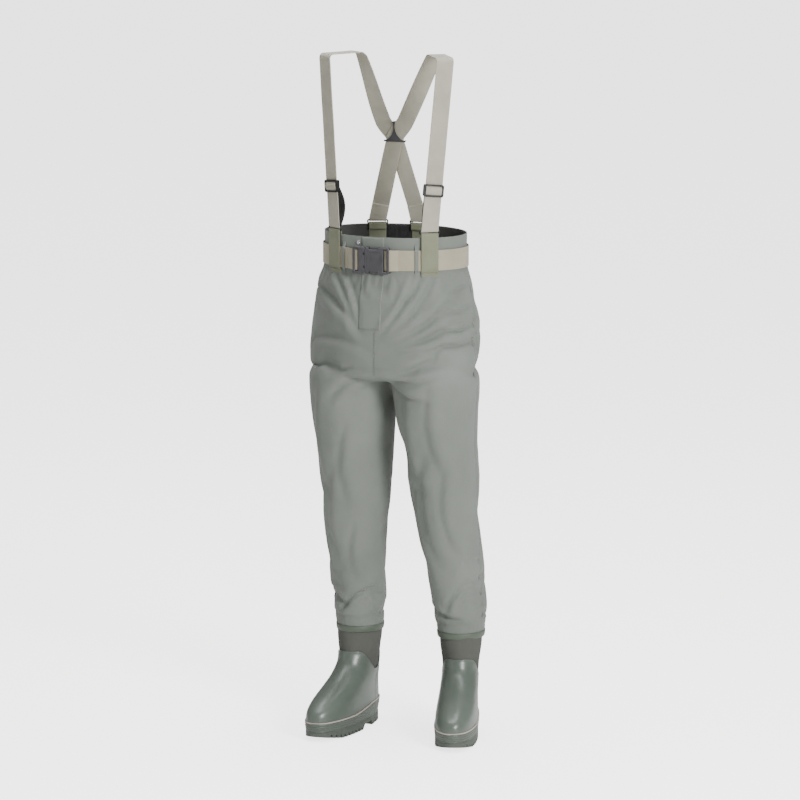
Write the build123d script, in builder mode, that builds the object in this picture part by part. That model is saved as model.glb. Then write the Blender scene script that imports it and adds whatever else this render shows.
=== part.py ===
"""Chest waders on suspenders, with a side-release belt and moulded rubber boots.

Units are millimetres. +Z is up, the wearer faces -Y and the wearer's left is +X.
The origin is on the ground, midway between the ankles. It is about 6 mm from the centre of
the overall box, because the left boot turns out more than the right.
"""

import math
import os

from build123d import *

os.makedirs("parts", exist_ok=True)

# ---------------------------------------------------------------- driving dimensions
RIGHT, LEFT = -1, 1  # the wearer's sides, as the sign of X
SIDES = ((RIGHT, "right"), (LEFT, "left"))

# fabric shell
fabric = 1.6  # thickness of the laminated shell fabric
rim_z = 1125.0  # height of the waist rim
crotch_z = 810.0
hem_z = 221.0  # where the fabric legs join the boots
waist_x = 160.0  # half width of the waist under the belt
waist_y = 112.0  # half depth of the waist under the belt
trunk_y = -15.0  # front-to-back place of the trunk's centre
ankle_x = 119.0  # half the distance between the ankles
ankle_y = 81.0  # the ankles stand behind the trunk's centre
facing = 1.0  # thickness of the facing inside the rim
facing_height = 40.0
fly_width = 52.0
fly_bottom_z = 925.0
stud_x = -46.0  # the press stud is beside the fly, just under the rim
stud_z = 1111.0
stud_diameter = 9.0

# belt and buckle
belt_z = 1075.5  # height of the belt's centre line
belt_width = 45.0
webbing = 1.6  # thickness of all webbing
belt_gap = 2.3  # room between shell and belt for the fly flap
buckle_x = -12.0  # the buckle sits a little to the wearer's right
buckle_length = 83.0
buckle_height = 58.0
buckle_depth = 12.0
buckle_wall = 2.5
buckle_stand = 0.7  # room between the fly and the buckle's back, beyond the belt's gap
buckle_split = -14.0  # where the plug's base meets the socket, from the buckle's centre
buckle_bar = 4.0  # the recessed bars that the belt is looped round
buckle_edge = 5.0  # the plain bars at the buckle's two ends, in front of the belt
buckle_slot = 8.0  # the gap beside each recessed bar
buckle_corner = 4.0
press_x = 6.0  # the two openings that show the prongs, from the buckle's centre
press_length = 22.0
press_depth = 5.0
panel_x = 7.0  # the raised panel on the socket's face
panel_length = 30.0
panel_height = 34.0
panel_rise = 0.8
tongue_height = 10.0  # the plug's middle tongue
tongue_reach = 32.0
prong_width = 5.0
prong_reach = 33.0  # from the plug's base to the end of each prong
prong_pivot = 2.5  # radius of each prong's knuckle
prong_z = 14.5  # height of the knuckles above and below the buckle's centre
belt_ply = 17.0  # how far each folded belt end runs back beside the buckle
lead_x = -90.0  # where the belt's loose lead begins
loop_width = 8.0

# suspenders
strap_width = 38.0
tab_x = 107.5  # half the distance between the front tabs
tab_bottom_z = 1041.0
ring_wire = 3.4
ring_height = 8.0  # between the two bars of a ring, centre to centre
ring_side = 1.2  # room between the webbing's edge and the ring
front_ring_z = 1137.0
rear_ring_z = 1130.0
shoulder_z = 1528.0
shoulder_x = 139.0  # half the distance between the front folds at the shoulders
shoulder_run = 96.0  # level run of each strap over the shoulder
adjuster_z = 1228.0
adjuster_height = 27.0
adjuster_bar = 3.0
harness_x = -30.0  # the back of the harness sits a little to the wearer's right
rear_ring_spread = 48.0  # half the distance between the rear rings
cross_y = 60.0
cross_z = 1330.0
crosser_width = 47.0
crosser_height = 40.0
crosser_lean = 8.0  # how far the crosser leans back, in degrees
crosser_plate = 1.8
crosser_tip = 3.0  # half width of the crosser's tip
crosser_waist = 7.0  # half width where the plate's sides are drawn in
crosser_post = 1.4  # radius of the posts that join the two plates
strap_end = 35.0  # folded ply above each rear ring
strap_end_stand = 2.4  # the strap twists above its ring, so its end stands this far off it

# boots
boot_height = hem_z
rubber = 2.0  # wall of the moulded rubber upper
neoprene = 3.5  # wall of the neoprene inner boot
foot_z = 20.0  # underside of the upper, above the ground
toe_out = {RIGHT: 7.0, LEFT: 14.0}  # how far each foot turns outwards, in degrees
rand = 2.5  # how far the rand stands out from the upper
rand_toe_z = 40.0  # height of the rand at the toe
rand_heel_z = 50.0  # and at the heel
pinstripe = 2.4  # height of the pale line along the rand's top edge
band_height = 14.0  # tape over the seam between leg and boot
tongue_z = 172.0  # top of the rubber at the front
dip_z = 126.0  # lowest point of the rubber's top edge, at the side
heel_peak_z = 182.0
lug = 7.0  # depth of the cleats
heel_length = 78.0
insole = 4.0

clearance = 0.3  # room between parts that move past each other
fit = 0.05  # room between parts that lie against each other

# height, half width and half depth of the trunk
trunk_levels = [
    (crotch_z - 20, waist_x + 8, waist_y - 2),
    (crotch_z + 5, waist_x + 27, waist_y + 16),
    (862, waist_x + 27, waist_y + 17),
    (916, waist_x + 23, waist_y + 14),
    (970, waist_x + 17, waist_y + 10),
    (1022, waist_x + 8, waist_y + 4),
    (belt_z - belt_width / 2 - 2, waist_x, waist_y),
]

# height, distance from the middle plane, distance behind the trunk's centre, half width, half depth
leg_levels = [
    (crotch_z + 90, 88, 0, 66, 84),
    (crotch_z + 30, 93, 0, 84, 104),
    (crotch_z - 6, 94, 0, 95, 117),
    (754, 95, 2, 91, 108),
    (700, 96, 5, 86, 98),
    (645, 99, 15, 80, 92),
    (560, 103, 31, 73, 84),
    (448, 111, 50, 64, 74),
    (335, 118, 74, 58, 67),
    (hem_z + 24, ankle_x, ankle_y - trunk_y, 52.5, 60),
    (hem_z - 20, ankle_x, ankle_y - trunk_y, 49.5, 57.5),
]

# height above the ground, toe and heel from the ankle's axis, half width at the ball and at the heel
boot_levels = [
    (foot_z, 226, 60, 49, 37),
    (46, 229, 66, 51, 39.5),
    (64, 222, 66, 50, 39.5),
    (81, 198, 64, 48, 39),
    (98, 160, 62, 45, 39),
    (115, 120, 60, 43, 39.5),
    (133, 90, 58, 41, 40),
    (153, 72, 57, 40.5, 41),
    (180, 64, 57, 43.5, 44),
    (205, 60, 57, 47, 47),
    (boot_height + 14, 58, 57, 49, 49),
]


# ---------------------------------------------------------------- helpers
def trunk_form(grow):
    """The trunk's outer form, grown outwards by a distance."""
    with BuildPart() as form:
        for z, half_x, half_y in trunk_levels:
            lift = -grow if z < crotch_z else 0
            with BuildSketch(Plane.XY.offset(z + lift)):
                with Locations((0, trunk_y)):
                    Ellipse(half_x + grow, half_y + grow)
        loft()
        extrude(form.faces().sort_by(Axis.Z)[-1], amount=rim_z + 15 - trunk_levels[-1][0])
    return form.part


def leg_form(side, grow):
    """One leg's outer form, grown outwards by a distance."""
    with BuildPart() as form:
        for z, out, back, half_x, half_y in leg_levels:
            with BuildSketch(Plane.XY.offset(z)):
                with Locations((side * out, trunk_y + back)):
                    Ellipse(half_x + grow, half_y + grow)
        loft()
    return form.part


def ground_plane(side, z):
    """A level plane under one ankle whose own -Y points at that boot's toe."""
    turn = math.radians(toe_out[side]) * side
    return Plane(
        origin=(side * ankle_x, ankle_y, z),
        x_dir=(math.cos(turn), math.sin(turn), 0),
        z_dir=(0, 0, 1),
    )


def side_plane(side):
    """An upright plane through one ankle: x runs to the heel and y up."""
    level = ground_plane(side, 0)
    return Plane(origin=level.origin, x_dir=level.y_dir, z_dir=level.x_dir)


def foot_outline(toe, heel, ball, back, count=16):
    """Points round a foot seen from above: an ellipse whose width runs from ball to heel."""
    points = []
    for n in range(count):
        angle = 2 * math.pi * n / count
        share = (1 - math.cos(angle)) / 2
        width = ball * (1 - share) + back * share
        fullness = 0.78 + 0.22 * min(1, 100 / toe)
        swell = math.copysign(abs(math.sin(angle)) ** fullness, math.sin(angle))
        points.append((width * swell, -toe + (toe + heel) * share))
    return points


def boot_form(side, grow):
    """The boot's outer form from under the foot to above its top, grown outwards by a distance."""
    with BuildPart() as form:
        for z, toe, heel, ball, back in boot_levels:
            lift = -grow if z == foot_z else 0
            with BuildSketch(ground_plane(side, z + lift)):
                with BuildLine():
                    Spline(*foot_outline(toe + grow, heel + grow, ball + grow, back + grow), periodic=True)
                make_face()
        loft()
    return form.part


def ribbon(stations, width):
    """A strip of webbing through stations, each a point, the direction of its run and its outer side."""
    with BuildPart() as strip:
        for point, along, outer in stations:
            across = Vector(along).cross(Vector(outer))
            with BuildSketch(Plane(origin=point, x_dir=across, z_dir=along)):
                Rectangle(width, webbing)
        loft(ruled=True)
    return strip.part


def webbing_loop(plane, width):
    """Webbing round one bar of a ring: the bar runs along the plane's x."""
    with BuildPart() as loop:
        with BuildSketch(Plane(origin=plane.origin, x_dir=plane.y_dir, z_dir=plane.x_dir)):
            Circle(loop_turn + webbing / 2)
            Circle(loop_turn - webbing / 2, mode=Mode.SUBTRACT)
        extrude(amount=width / 2, both=True)
    return loop.part


def on_waist(x, front, out=0.0, z=rim_z):
    """A plane on the waist at one x: its own x runs along the rim, y up and z outwards."""
    y = waist_y * math.sqrt(1 - (x / waist_x) ** 2) * (-1 if front else 1)
    normal = Vector(x / waist_x**2, y / waist_y**2, 0).normalized()
    across = Vector(0, 0, 1).cross(normal)
    origin = Vector(x, trunk_y + y, z) + normal * out
    return Plane(origin=origin, x_dir=across, z_dir=normal)


def save(builder, name):
    builder.part.label = name
    export_step(builder.part, f"parts/{name}.step")


# ---------------------------------------------------------------- fabric shell
leg_outer = {side: leg_form(side, 0) for side in (RIGHT, LEFT)}
leg_inner = {side: leg_form(side, -fabric) for side in (RIGHT, LEFT)}
trunk_outer = trunk_form(0)
trunk_inner = trunk_form(-fabric)

big = 600.0  # reaches past the waders in every direction
with BuildPart() as shell:
    add(trunk_outer)
    add([leg_outer[RIGHT], leg_outer[LEFT]])
    add([trunk_inner, leg_inner[RIGHT], leg_inner[LEFT]], mode=Mode.SUBTRACT)
    split(bisect_by=Plane.XY.offset(rim_z), keep=Keep.BOTTOM)
    split(bisect_by=Plane.XY.offset(hem_z), keep=Keep.TOP)

# the side seams run down the middle of each leg, which leans back towards the ankle
with BuildPart() as front_space:
    with BuildSketch(Plane.YZ):
        with BuildLine():
            seam = [(trunk_y + back, z) for z, _, back, _, _ in leg_levels]
            Polyline(
                (-big, 0),
                (ankle_y, 0),
                *reversed(seam),
                (trunk_y, rim_z + 50),
                (-big, rim_z + 50),
                close=True,
            )
        make_face()
    extrude(amount=big, both=True)

for side, side_name in SIDES:
    half = Keep.TOP if side == LEFT else Keep.BOTTOM
    with BuildPart() as front_panel:
        add(shell.part)
        split(bisect_by=Plane.YZ, keep=half)
        add(front_space.part, mode=Mode.INTERSECT)
    save(front_panel, f"{side_name}_front_panel")
    with BuildPart() as back_panel:
        add(shell.part)
        split(bisect_by=Plane.YZ, keep=half)
        add(front_space.part, mode=Mode.SUBTRACT)
    save(back_panel, f"{side_name}_back_panel")

# facing inside the rim, and what is sewn to the waist
with BuildPart() as waist_facing:
    with BuildSketch(Plane.XY.offset(rim_z - facing_height)):
        with Locations((0, trunk_y)):
            Ellipse(waist_x - fabric - fit, waist_y - fabric - fit)
            Ellipse(waist_x - fabric - fit - facing, waist_y - fabric - fit - facing, mode=Mode.SUBTRACT)
    extrude(amount=facing_height)
save(waist_facing, "waist_facing")

elastic = 2.0  # thickness of the gathered elastic
inner_x = waist_x - fabric - facing - 2 * fit
inner_y = waist_y - fabric - facing - 2 * fit
elastic_half = rear_ring_spread - strap_width / 2 - 2
with BuildPart() as rear_elastic:
    with BuildSketch(Plane.XY.offset(rim_z - facing_height + 2)):
        with Locations((0, trunk_y)):
            Ellipse(inner_x, inner_y)
            Ellipse(inner_x - elastic, inner_y - elastic, mode=Mode.SUBTRACT)
        with Locations((harness_x, trunk_y + waist_y)):
            Rectangle(2 * elastic_half, waist_y, mode=Mode.INTERSECT)
    extrude(amount=facing_height - 4)
save(rear_elastic, "rear_elastic")

with BuildPart() as fly_flap:
    add(trunk_form(fit + fabric))
    add(trunk_form(fit), mode=Mode.SUBTRACT)
    with BuildSketch(Plane.XZ.offset(-trunk_y)):
        with Locations((buckle_x, (fly_bottom_z + rim_z) / 2)):
            Rectangle(fly_width, rim_z - fly_bottom_z)
    extrude(amount=big, mode=Mode.INTERSECT)
save(fly_flap, "fly_flap")

stud_plane = on_waist(stud_x, front=True, out=2 * fit, z=stud_z)
with BuildPart() as press_stud:
    with BuildSketch(stud_plane):
        Circle(stud_diameter / 2)
    extrude(amount=2.4)
    fillet(press_stud.faces().sort_by(Axis.Y)[0].edges(), 1.0)
save(press_stud, "press_stud")

# ---------------------------------------------------------------- belt
belt_x = waist_x + belt_gap
belt_y = waist_y + belt_gap
over_belt = belt_gap + webbing + clearance  # inner face of what passes over the belt
buckle_y = trunk_y - waist_y - belt_gap - buckle_stand - buckle_depth / 2
bar_x = buckle_length / 2 - buckle_edge - buckle_slot / 2  # each recessed bar, from the buckle's centre
bar_turn = buckle_bar / 2 + clearance + webbing / 2  # the belt's bend round a bar
bar_y = buckle_y + buckle_depth / 2 - bar_turn - webbing / 2


def belt_at(x, out=0.0):
    """A point on the front of the belt's middle ply, seen from above."""
    half = webbing / 2 + out
    return (x, trunk_y - (belt_y + half) * math.sqrt(1 - (x / (belt_x + half)) ** 2))


def belt_end(direction):
    """The belt's end in plan: behind the bar, round it and back over itself."""
    bar = buckle_x + direction * bar_x
    join = bar + direction * 34
    ply = buckle_x + direction * (buckle_length / 2 + belt_ply)
    near, far = belt_at(ply, webbing + 4 * fit), belt_at(join)
    slope = direction * (bar_turn + 2)
    with BuildSketch() as plan:
        with BuildLine():
            Polyline(far, (bar + slope, bar_y + bar_turn), (bar, bar_y + bar_turn))
        trace(line_width=webbing)
        with Locations((bar, bar_y)):
            Circle(bar_turn + webbing / 2)
            Circle(bar_turn - webbing / 2, mode=Mode.SUBTRACT)
        with BuildLine():
            Polyline((bar, bar_y - bar_turn), (bar + slope, bar_y - bar_turn), near)
        trace(line_width=webbing)
    return plan.sketch


with BuildPart() as whole_belt:
    with BuildSketch(Plane.XY.offset(belt_z - belt_width / 2)):
        with Locations((0, trunk_y)):
            Ellipse(belt_x + webbing, belt_y + webbing)
            Ellipse(belt_x, belt_y, mode=Mode.SUBTRACT)
        with Locations((buckle_x, trunk_y - belt_y)):
            Rectangle(2 * (bar_x + 33), belt_y, mode=Mode.SUBTRACT)
        add([belt_end(RIGHT), belt_end(LEFT)])
    extrude(amount=belt_width)

with BuildPart() as lead_space:
    with BuildSketch(Plane.XZ.offset(-trunk_y)):
        with Locations(((lead_x + buckle_x) / 2, belt_z)):
            Rectangle(buckle_x - lead_x, belt_width + 2)
    extrude(amount=big)

with BuildPart() as belt_band:
    add(whole_belt.part)
    add(lead_space.part, mode=Mode.SUBTRACT)
save(belt_band, "belt_band")

with BuildPart() as belt_lead:
    add(whole_belt.part)
    add(lead_space.part, mode=Mode.INTERSECT)
save(belt_lead, "belt_lead")

trunk_sewn = trunk_form(fit)  # what is sewn to the shell stops here


def over_belt_strip(x, front, width, bottom, top, top_foot):
    """A strip that crosses outside the belt and is sewn to the shell at its ends."""
    foot = 9.0
    with BuildPart() as strip:
        base = on_waist(x, front, out=over_belt, z=0)
        with BuildSketch(base):
            with Locations((0, (bottom + top) / 2)):
                Rectangle(width, top - bottom)
        extrude(amount=webbing)
        with BuildSketch(base):
            with Locations((0, bottom + foot / 2)):
                Rectangle(width, foot)
            if top_foot:
                with Locations((0, top - foot / 2)):
                    Rectangle(width, foot)
        extrude(amount=-over_belt - 3)
        add(trunk_sewn, mode=Mode.SUBTRACT)
    return strip.part


loops = {
    "right_belt_loop": (-tab_x + strap_width / 2 + 6, True),
    "left_belt_loop": (tab_x - strap_width / 2 - 6, True),
    "rear_belt_loop": (0, False),
}
for loop_name, (x, front) in loops.items():
    with BuildPart() as belt_loop:
        add(over_belt_strip(x, front, loop_width, tab_bottom_z, belt_z + belt_width / 2 + 12, True))
    save(belt_loop, loop_name)

# ---------------------------------------------------------------- buckle
buckle_plane = Plane(origin=(buckle_x, buckle_y, belt_z), x_dir=(1, 0, 0), z_dir=(0, -1, 0))
cavity_depth = buckle_depth - 2 * buckle_wall
cavity_height = buckle_height - 8
half_length = buckle_length / 2
body_end = half_length - buckle_edge - buckle_slot
edge_back = buckle_y - bar_y + bar_turn + webbing / 2 + clearance  # back of the end bars


def buckle_bars(body, direction):
    """Clear the belt's way behind one end bar and add the recessed bar that it is looped round."""
    with BuildPart() as done:
        add(body)
        with BuildSketch(buckle_plane.offset(-buckle_depth)):
            with Locations((direction * (body_end + 15), 0)):
                Rectangle(30, belt_width + 3)
        extrude(amount=buckle_depth + edge_back, mode=Mode.SUBTRACT)
        with BuildSketch(Plane.XY.offset(belt_z)):
            with Locations((buckle_x + direction * bar_x, bar_y)):
                Circle(buckle_bar / 2)
        extrude(amount=belt_width / 2 + 3, both=True)
    return done.part


with BuildPart() as socket_body:
    with BuildSketch(buckle_plane):
        with Locations(((buckle_split + half_length) / 2, 0)):
            RectangleRounded(half_length - buckle_split, buckle_height, buckle_corner)
        with Locations((press_x, buckle_height / 2), (press_x, -buckle_height / 2)):
            RectangleRounded(press_length, 2 * press_depth, 3, mode=Mode.SUBTRACT)
        with Locations((body_end + buckle_slot / 2, 0)):
            RectangleRounded(buckle_slot, belt_width + 3, 1.5, mode=Mode.SUBTRACT)
    extrude(amount=buckle_depth / 2, both=True)
    chamfer(socket_body.faces().sort_by(Axis.Y)[0].edges(), 0.8)
    with BuildSketch(buckle_plane):
        with Locations(((buckle_split + body_end - 4) / 2 - 1, 0)):
            Rectangle(body_end - 2 - buckle_split, cavity_height)
        window_end = press_x + press_length / 2 + 4  # the prongs' windows reach the buckle's edges
        with Locations(((buckle_split + window_end) / 2 - 1, 0)):
            Rectangle(window_end + 1 - buckle_split, buckle_height + 2)
    extrude(amount=cavity_depth / 2, both=True, mode=Mode.SUBTRACT)
    with BuildSketch(buckle_plane.offset(buckle_depth / 2)):
        with Locations((panel_x, 0)):
            RectangleRounded(panel_length, panel_height, 3)
    extrude(amount=panel_rise)

with BuildPart() as buckle_socket:
    add(buckle_bars(socket_body.part, LEFT))
save(buckle_socket, "buckle_socket")

base_end = buckle_split - clearance
knuckle_x = base_end - 1.5
prong_depth = cavity_depth - 2 * clearance
with BuildPart() as plug_body:
    with BuildSketch(buckle_plane):
        with Locations(((-half_length + base_end) / 2, 0)):
            RectangleRounded(base_end + half_length, buckle_height, buckle_corner)
        with Locations((-body_end - buckle_slot / 2, 0)):
            RectangleRounded(buckle_slot, belt_width + 3, 1.5, mode=Mode.SUBTRACT)
    extrude(amount=buckle_depth / 2, both=True)
    chamfer(plug_body.faces().sort_by(Axis.Y)[0].edges(), 0.8)
    with BuildSketch(buckle_plane):
        with Locations((base_end - 2 + tongue_reach / 2 + 1, 0)):
            Rectangle(tongue_reach + 2, tongue_height)
    extrude(amount=prong_depth / 2, both=True)
    with BuildSketch(buckle_plane):
        with Locations((knuckle_x, prong_z), (knuckle_x, -prong_z)):
            Circle(prong_pivot + fit)
        with Locations((base_end, prong_z), (base_end, -prong_z)):
            Rectangle(2 * prong_pivot, 2 * prong_pivot + 2 * fit + 1)
    extrude(amount=buckle_depth, both=True, mode=Mode.SUBTRACT)

with BuildPart() as buckle_plug:
    add(buckle_bars(plug_body.part, RIGHT))
save(buckle_plug, "buckle_plug")

pad_top = buckle_height / 2 - 0.8
for direction, prong_name in ((1, "upper_prong"), (-1, "lower_prong")):
    with BuildPart() as prong:
        with BuildSketch(buckle_plane):
            with Locations((knuckle_x, direction * prong_z)):
                Circle(prong_pivot)
            with BuildLine():
                arm = prong_z - prong_width / 2
                tip = base_end + prong_reach
                Polyline(
                    (knuckle_x, direction * arm),
                    (tip - 4, direction * (arm + 2)),
                    (tip, direction * (arm + 6)),
                    (tip, direction * (pad_top - 6)),
                    (tip - 4, direction * pad_top),
                    (tip - 18, direction * pad_top),
                    (tip - 21, direction * (pad_top - 5)),
                    (tip - 22, direction * (arm + prong_width + 1)),
                    (knuckle_x, direction * (arm + prong_width)),
                    close=True,
                )
            make_face()
        extrude(amount=prong_depth / 2, both=True)
    save(prong, prong_name)

# ---------------------------------------------------------------- suspenders
loop_turn = ring_wire / 2 + 0.15 + webbing / 2  # the webbing's bend round a ring
up = Vector(0, 0, 1)


def ring(plane):
    """A rounded wire ring whose two long bars run along the plane's x."""
    half_width = strap_width / 2 + ring_side + ring_wire / 2
    corners = [(-1, -1), (1, -1), (1, 1), (-1, 1)]
    with BuildPart() as wire:
        with BuildLine(plane) as path:
            points = [(half_width * a, ring_height / 2 * b) for a, b in corners]
            FilletPolyline(*points, radius=ring_wire, close=True)
        start = path.edges().sort_by_distance(plane.origin)[0]
        with BuildSketch(Plane(origin=start @ 0.5, z_dir=start % 0.5)):
            Circle(ring_wire / 2)
        sweep(path=Wire(path.edges()))
    return wire.part


def front_run(side):
    """Where one strap leaves its front ring, its direction and its outer side."""
    base = on_waist(side * tab_x, front=True, out=over_belt + webbing / 2, z=front_ring_z)
    start = base.origin + up * (ring_height / 2)
    outwards = side * shoulder_x - start.X
    sideways = base.x_dir * (outwards / base.x_dir.X)
    along = (sideways + up * (shoulder_z - start.Z)).normalized()
    return start, along, base.z_dir


fold = 9.0  # bend of the webbing where it goes over the shoulder
lean = math.radians(crosser_lean)
crosser_plane = Plane(
    origin=(harness_x, cross_y, cross_z), x_dir=(1, 0, 0), z_dir=(0, -math.cos(lean), -math.sin(lean))
)
crosser_back = crosser_plane.z_dir * -1
enter_y, leave_y = crosser_height / 2 + 3, -crosser_height / 2 + 8
spread = (strap_width / 2) / math.cos(math.radians(36)) + 1.9  # each strap passes beside the crosser's tip
strap_space = 2 * webbing + 3 * clearance  # room for both straps inside the crosser


def rear_ring_plane(side):
    """The plane of the ring under one end of the crossed straps, just inside the rear rim."""
    bow = 1.2  # a flat tab stands this far off the middle of the curved rim
    inset = fabric + facing + 3 * fit + bow + webbing / 2 + loop_turn
    return on_waist(harness_x + side * rear_ring_spread, front=False, out=-inset, z=rear_ring_z)


def strap_stations(side):
    """One strap from its front ring over the shoulder, through the crosser and to its rear ring."""
    start, along, outer = front_run(side)
    back = outer * -1
    rise = (shoulder_z - fold - start.Z) / along.Z
    top = start + along * rise
    bend = top + back * fold
    stations = [(start, along, outer), (top, along, outer)]
    for angle in (45, 90):
        c, n = math.cos(math.radians(angle)), math.sin(math.radians(angle))
        stations.append((bend + outer * (fold * c) + up * (fold * n), up * c + back * n, outer * c + up * n))
    rear_fold = bend + up * fold + back * (shoulder_run - 2 * fold)
    stations.append((rear_fold, back, up))

    # the left strap passes in front of the right one inside the crosser
    layer = crosser_plane.z_dir * (side * (webbing + clearance) / 2)
    enter = crosser_plane.from_local_coords(Vector(side * spread, enter_y, 0)) + layer
    leave = crosser_plane.from_local_coords(Vector(0, leave_y, 0)) + layer
    # it stays flat between the plates until it is past their lower edge
    aim = crosser_plane.to_local_coords(rear_ring_plane(-side).origin)
    share = (leave_y + crosser_height / 2 + 2) / (leave_y - aim.Y)
    past = crosser_plane.from_local_coords(Vector(aim.X * share, -crosser_height / 2 - 2, 0)) + layer
    plane = rear_ring_plane(-side)
    end = plane.origin + up * (ring_height / 2) + plane.z_dir * (loop_turn + 0.5)
    down = (enter - rear_fold).normalized()
    behind = (back + up).normalized()
    stations.append((rear_fold + back * (0.7 * fold) - up * (0.35 * fold), (back + down).normalized(), behind))
    stations.append((rear_fold + back * fold + down * fold, down, behind))
    stations.append((enter, (leave - enter).normalized(), crosser_back))
    stations.append((leave, (leave - enter).normalized() + (past - leave).normalized(), crosser_back))
    stations.append((past, (past - leave).normalized() + (end - past).normalized(), crosser_back))
    stations.append((end, (end - past).normalized(), plane.z_dir))
    return stations


for side, side_name in SIDES:
    # tab sewn to the waist, over the belt, and the ring at its top
    base = on_waist(side * tab_x, front=True, out=over_belt + webbing / 2 - loop_turn, z=front_ring_z)
    lower_bar = base.offset(0)
    lower_bar.origin = base.origin - up * (ring_height / 2)
    upper_bar = base.offset(0)
    upper_bar.origin = base.origin + up * (ring_height / 2)
    with BuildPart() as front_tab:
        add(over_belt_strip(side * tab_x, True, strap_width, tab_bottom_z, lower_bar.origin.Z, False))
        add(webbing_loop(lower_bar, strap_width))
    save(front_tab, f"{side_name}_front_tab")
    with BuildPart() as front_ring:
        add(ring(base))
    save(front_ring, f"{side_name}_front_ring")

    # tab sewn inside the rear rim, and its ring
    plane = rear_ring_plane(side)
    tab_plane = plane.offset(loop_turn - webbing / 2)
    low = plane.origin - up * (ring_height / 2)
    rear_tab_bottom = rim_z - facing_height
    with BuildPart() as rear_tab:
        with BuildSketch(tab_plane):
            with Locations((0, (rear_tab_bottom - rear_ring_z - ring_height / 2) / 2)):
                Rectangle(strap_width, rear_ring_z - ring_height / 2 - rear_tab_bottom)
        extrude(amount=webbing)
        add(webbing_loop(Plane(origin=low, x_dir=plane.x_dir, z_dir=plane.z_dir), strap_width))
    save(rear_tab, f"{side_name}_rear_tab")
    with BuildPart() as rear_ring:
        add(ring(plane))
    save(rear_ring, f"{side_name}_rear_ring")

    # the strap, and its end folded up and sewn above the rear ring
    stations = strap_stations(side)
    far_plane = rear_ring_plane(-side)
    high = far_plane.origin + up * (ring_height / 2)
    with BuildPart() as strap:
        add(ribbon(stations, strap_width))
        add(webbing_loop(upper_bar, strap_width))
        add(webbing_loop(Plane(origin=high, x_dir=far_plane.x_dir, z_dir=far_plane.z_dir), strap_width))
    save(strap, f"{side_name}_strap")
    end, along, outer = stations[-1]
    rise = along.normalized() * -1
    inner = outer * -1
    ply_start = end + inner * (2 * loop_turn)
    ply_end = end + rise * strap_end + inner * (webbing + strap_end_stand)
    with BuildPart() as ply:
        # the strap leans, so the ply starts where its lower corner clears the webbing round the ring
        lift = loop_turn + webbing / 2 + strap_width / 2 * math.hypot(rise.X, rise.Y)
        add(ribbon([(ply_start + rise * lift, rise, outer), (ply_end, rise, outer)], strap_width))
    save(ply, f"{side_name}_strap_end")

    # the adjuster's rim lies in front of the strap and its centre bar behind
    start, along, outer = front_run(side)
    middle = start + along * ((adjuster_z - start.Z) / along.Z)
    adjuster_plane = Plane(origin=middle, x_dir=along.cross(outer), z_dir=outer)
    half_gap = webbing / 2 + clearance
    inside = strap_width + 2 * clearance
    outside = inside + 2 * adjuster_bar
    with BuildPart() as adjuster:
        with BuildSketch(adjuster_plane):
            RectangleRounded(outside, adjuster_height, 4)
            Rectangle(inside, adjuster_height + 1, mode=Mode.SUBTRACT)
        extrude(amount=half_gap + adjuster_bar, both=True)
        with BuildSketch(adjuster_plane.offset(half_gap)):
            RectangleRounded(outside, adjuster_height, 4)
            RectangleRounded(inside - 2, adjuster_height - 2 * adjuster_bar, 2, mode=Mode.SUBTRACT)
        extrude(amount=adjuster_bar)
        with BuildSketch(adjuster_plane.offset(-half_gap)):
            Rectangle(inside + 1, adjuster_bar + 1)
        extrude(amount=-adjuster_bar)
    save(adjuster, f"{side_name}_adjuster")

    # the ply from the adjuster's centre bar back down to the ring hangs slack
    slack = {RIGHT: 14.0, LEFT: 7.0}[side]
    behind = outer * -1
    depth = half_gap + adjuster_bar + clearance + webbing / 2
    top = middle + behind * depth
    bottom = start + behind * (2 * loop_turn) + along * 4.5
    slack_stations = []
    for n in range(7):
        share = n / 6
        bow = slack * math.sin(math.pi * share)
        slack_stations.append((bottom + (top - bottom) * share + behind * bow, along, outer))
    with BuildPart() as return_ply:
        add(ribbon(slack_stations, strap_width - 2))
    save(return_ply, f"{side_name}_return_ply")

# the crosser is two plates joined at their corners, with both straps between them
half_wide, half_tall = crosser_width / 2, crosser_height / 2
with BuildPart() as crosser:
    for face in (1, -1):
        with BuildSketch(crosser_plane.offset(face * strap_space / 2)):
            with BuildLine():
                tip_left, tip_right = (-crosser_tip, enter_y + 2), (crosser_tip, enter_y + 2)
                foot_left, foot_right = (-half_wide - 2, -half_tall), (half_wide + 2, -half_tall)
                base_line = Line(foot_left, foot_right)
                ThreePointArc(foot_right, (crosser_waist, -half_tall * 0.3), tip_right)
                Line(tip_right, tip_left)
                ThreePointArc(tip_left, (-crosser_waist, -half_tall * 0.3), foot_left)
            make_face()
        extrude(amount=face * crosser_plate)
    with BuildSketch(crosser_plane):
        with Locations((0, enter_y)):
            Circle(crosser_post)
        post_x, post_y = half_wide + 0.5, -half_tall + crosser_post
        with Locations((post_x, post_y), (-post_x, post_y)):
            Circle(crosser_post)
    extrude(amount=strap_space / 2 + 0.5, both=True)
save(crosser, "strap_crosser")

# ---------------------------------------------------------------- boots
waist_of_sole = 11.0  # height of the sole's underside between heel and forefoot
arch_length = 55.0  # between the heel block and the forefoot
toe_spring = 11.0  # how far the sole rises at the toe
toe_run = 65.0  # length over which it rises
groove = 5.0  # width of the gaps between cleats
groove_pitch = 15.0
first_groove = 7.0  # from the arch to the forefoot's first groove
heel_front = boot_levels[0][2] - heel_length
sole_toe = -boot_levels[0][1] - rand

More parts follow.
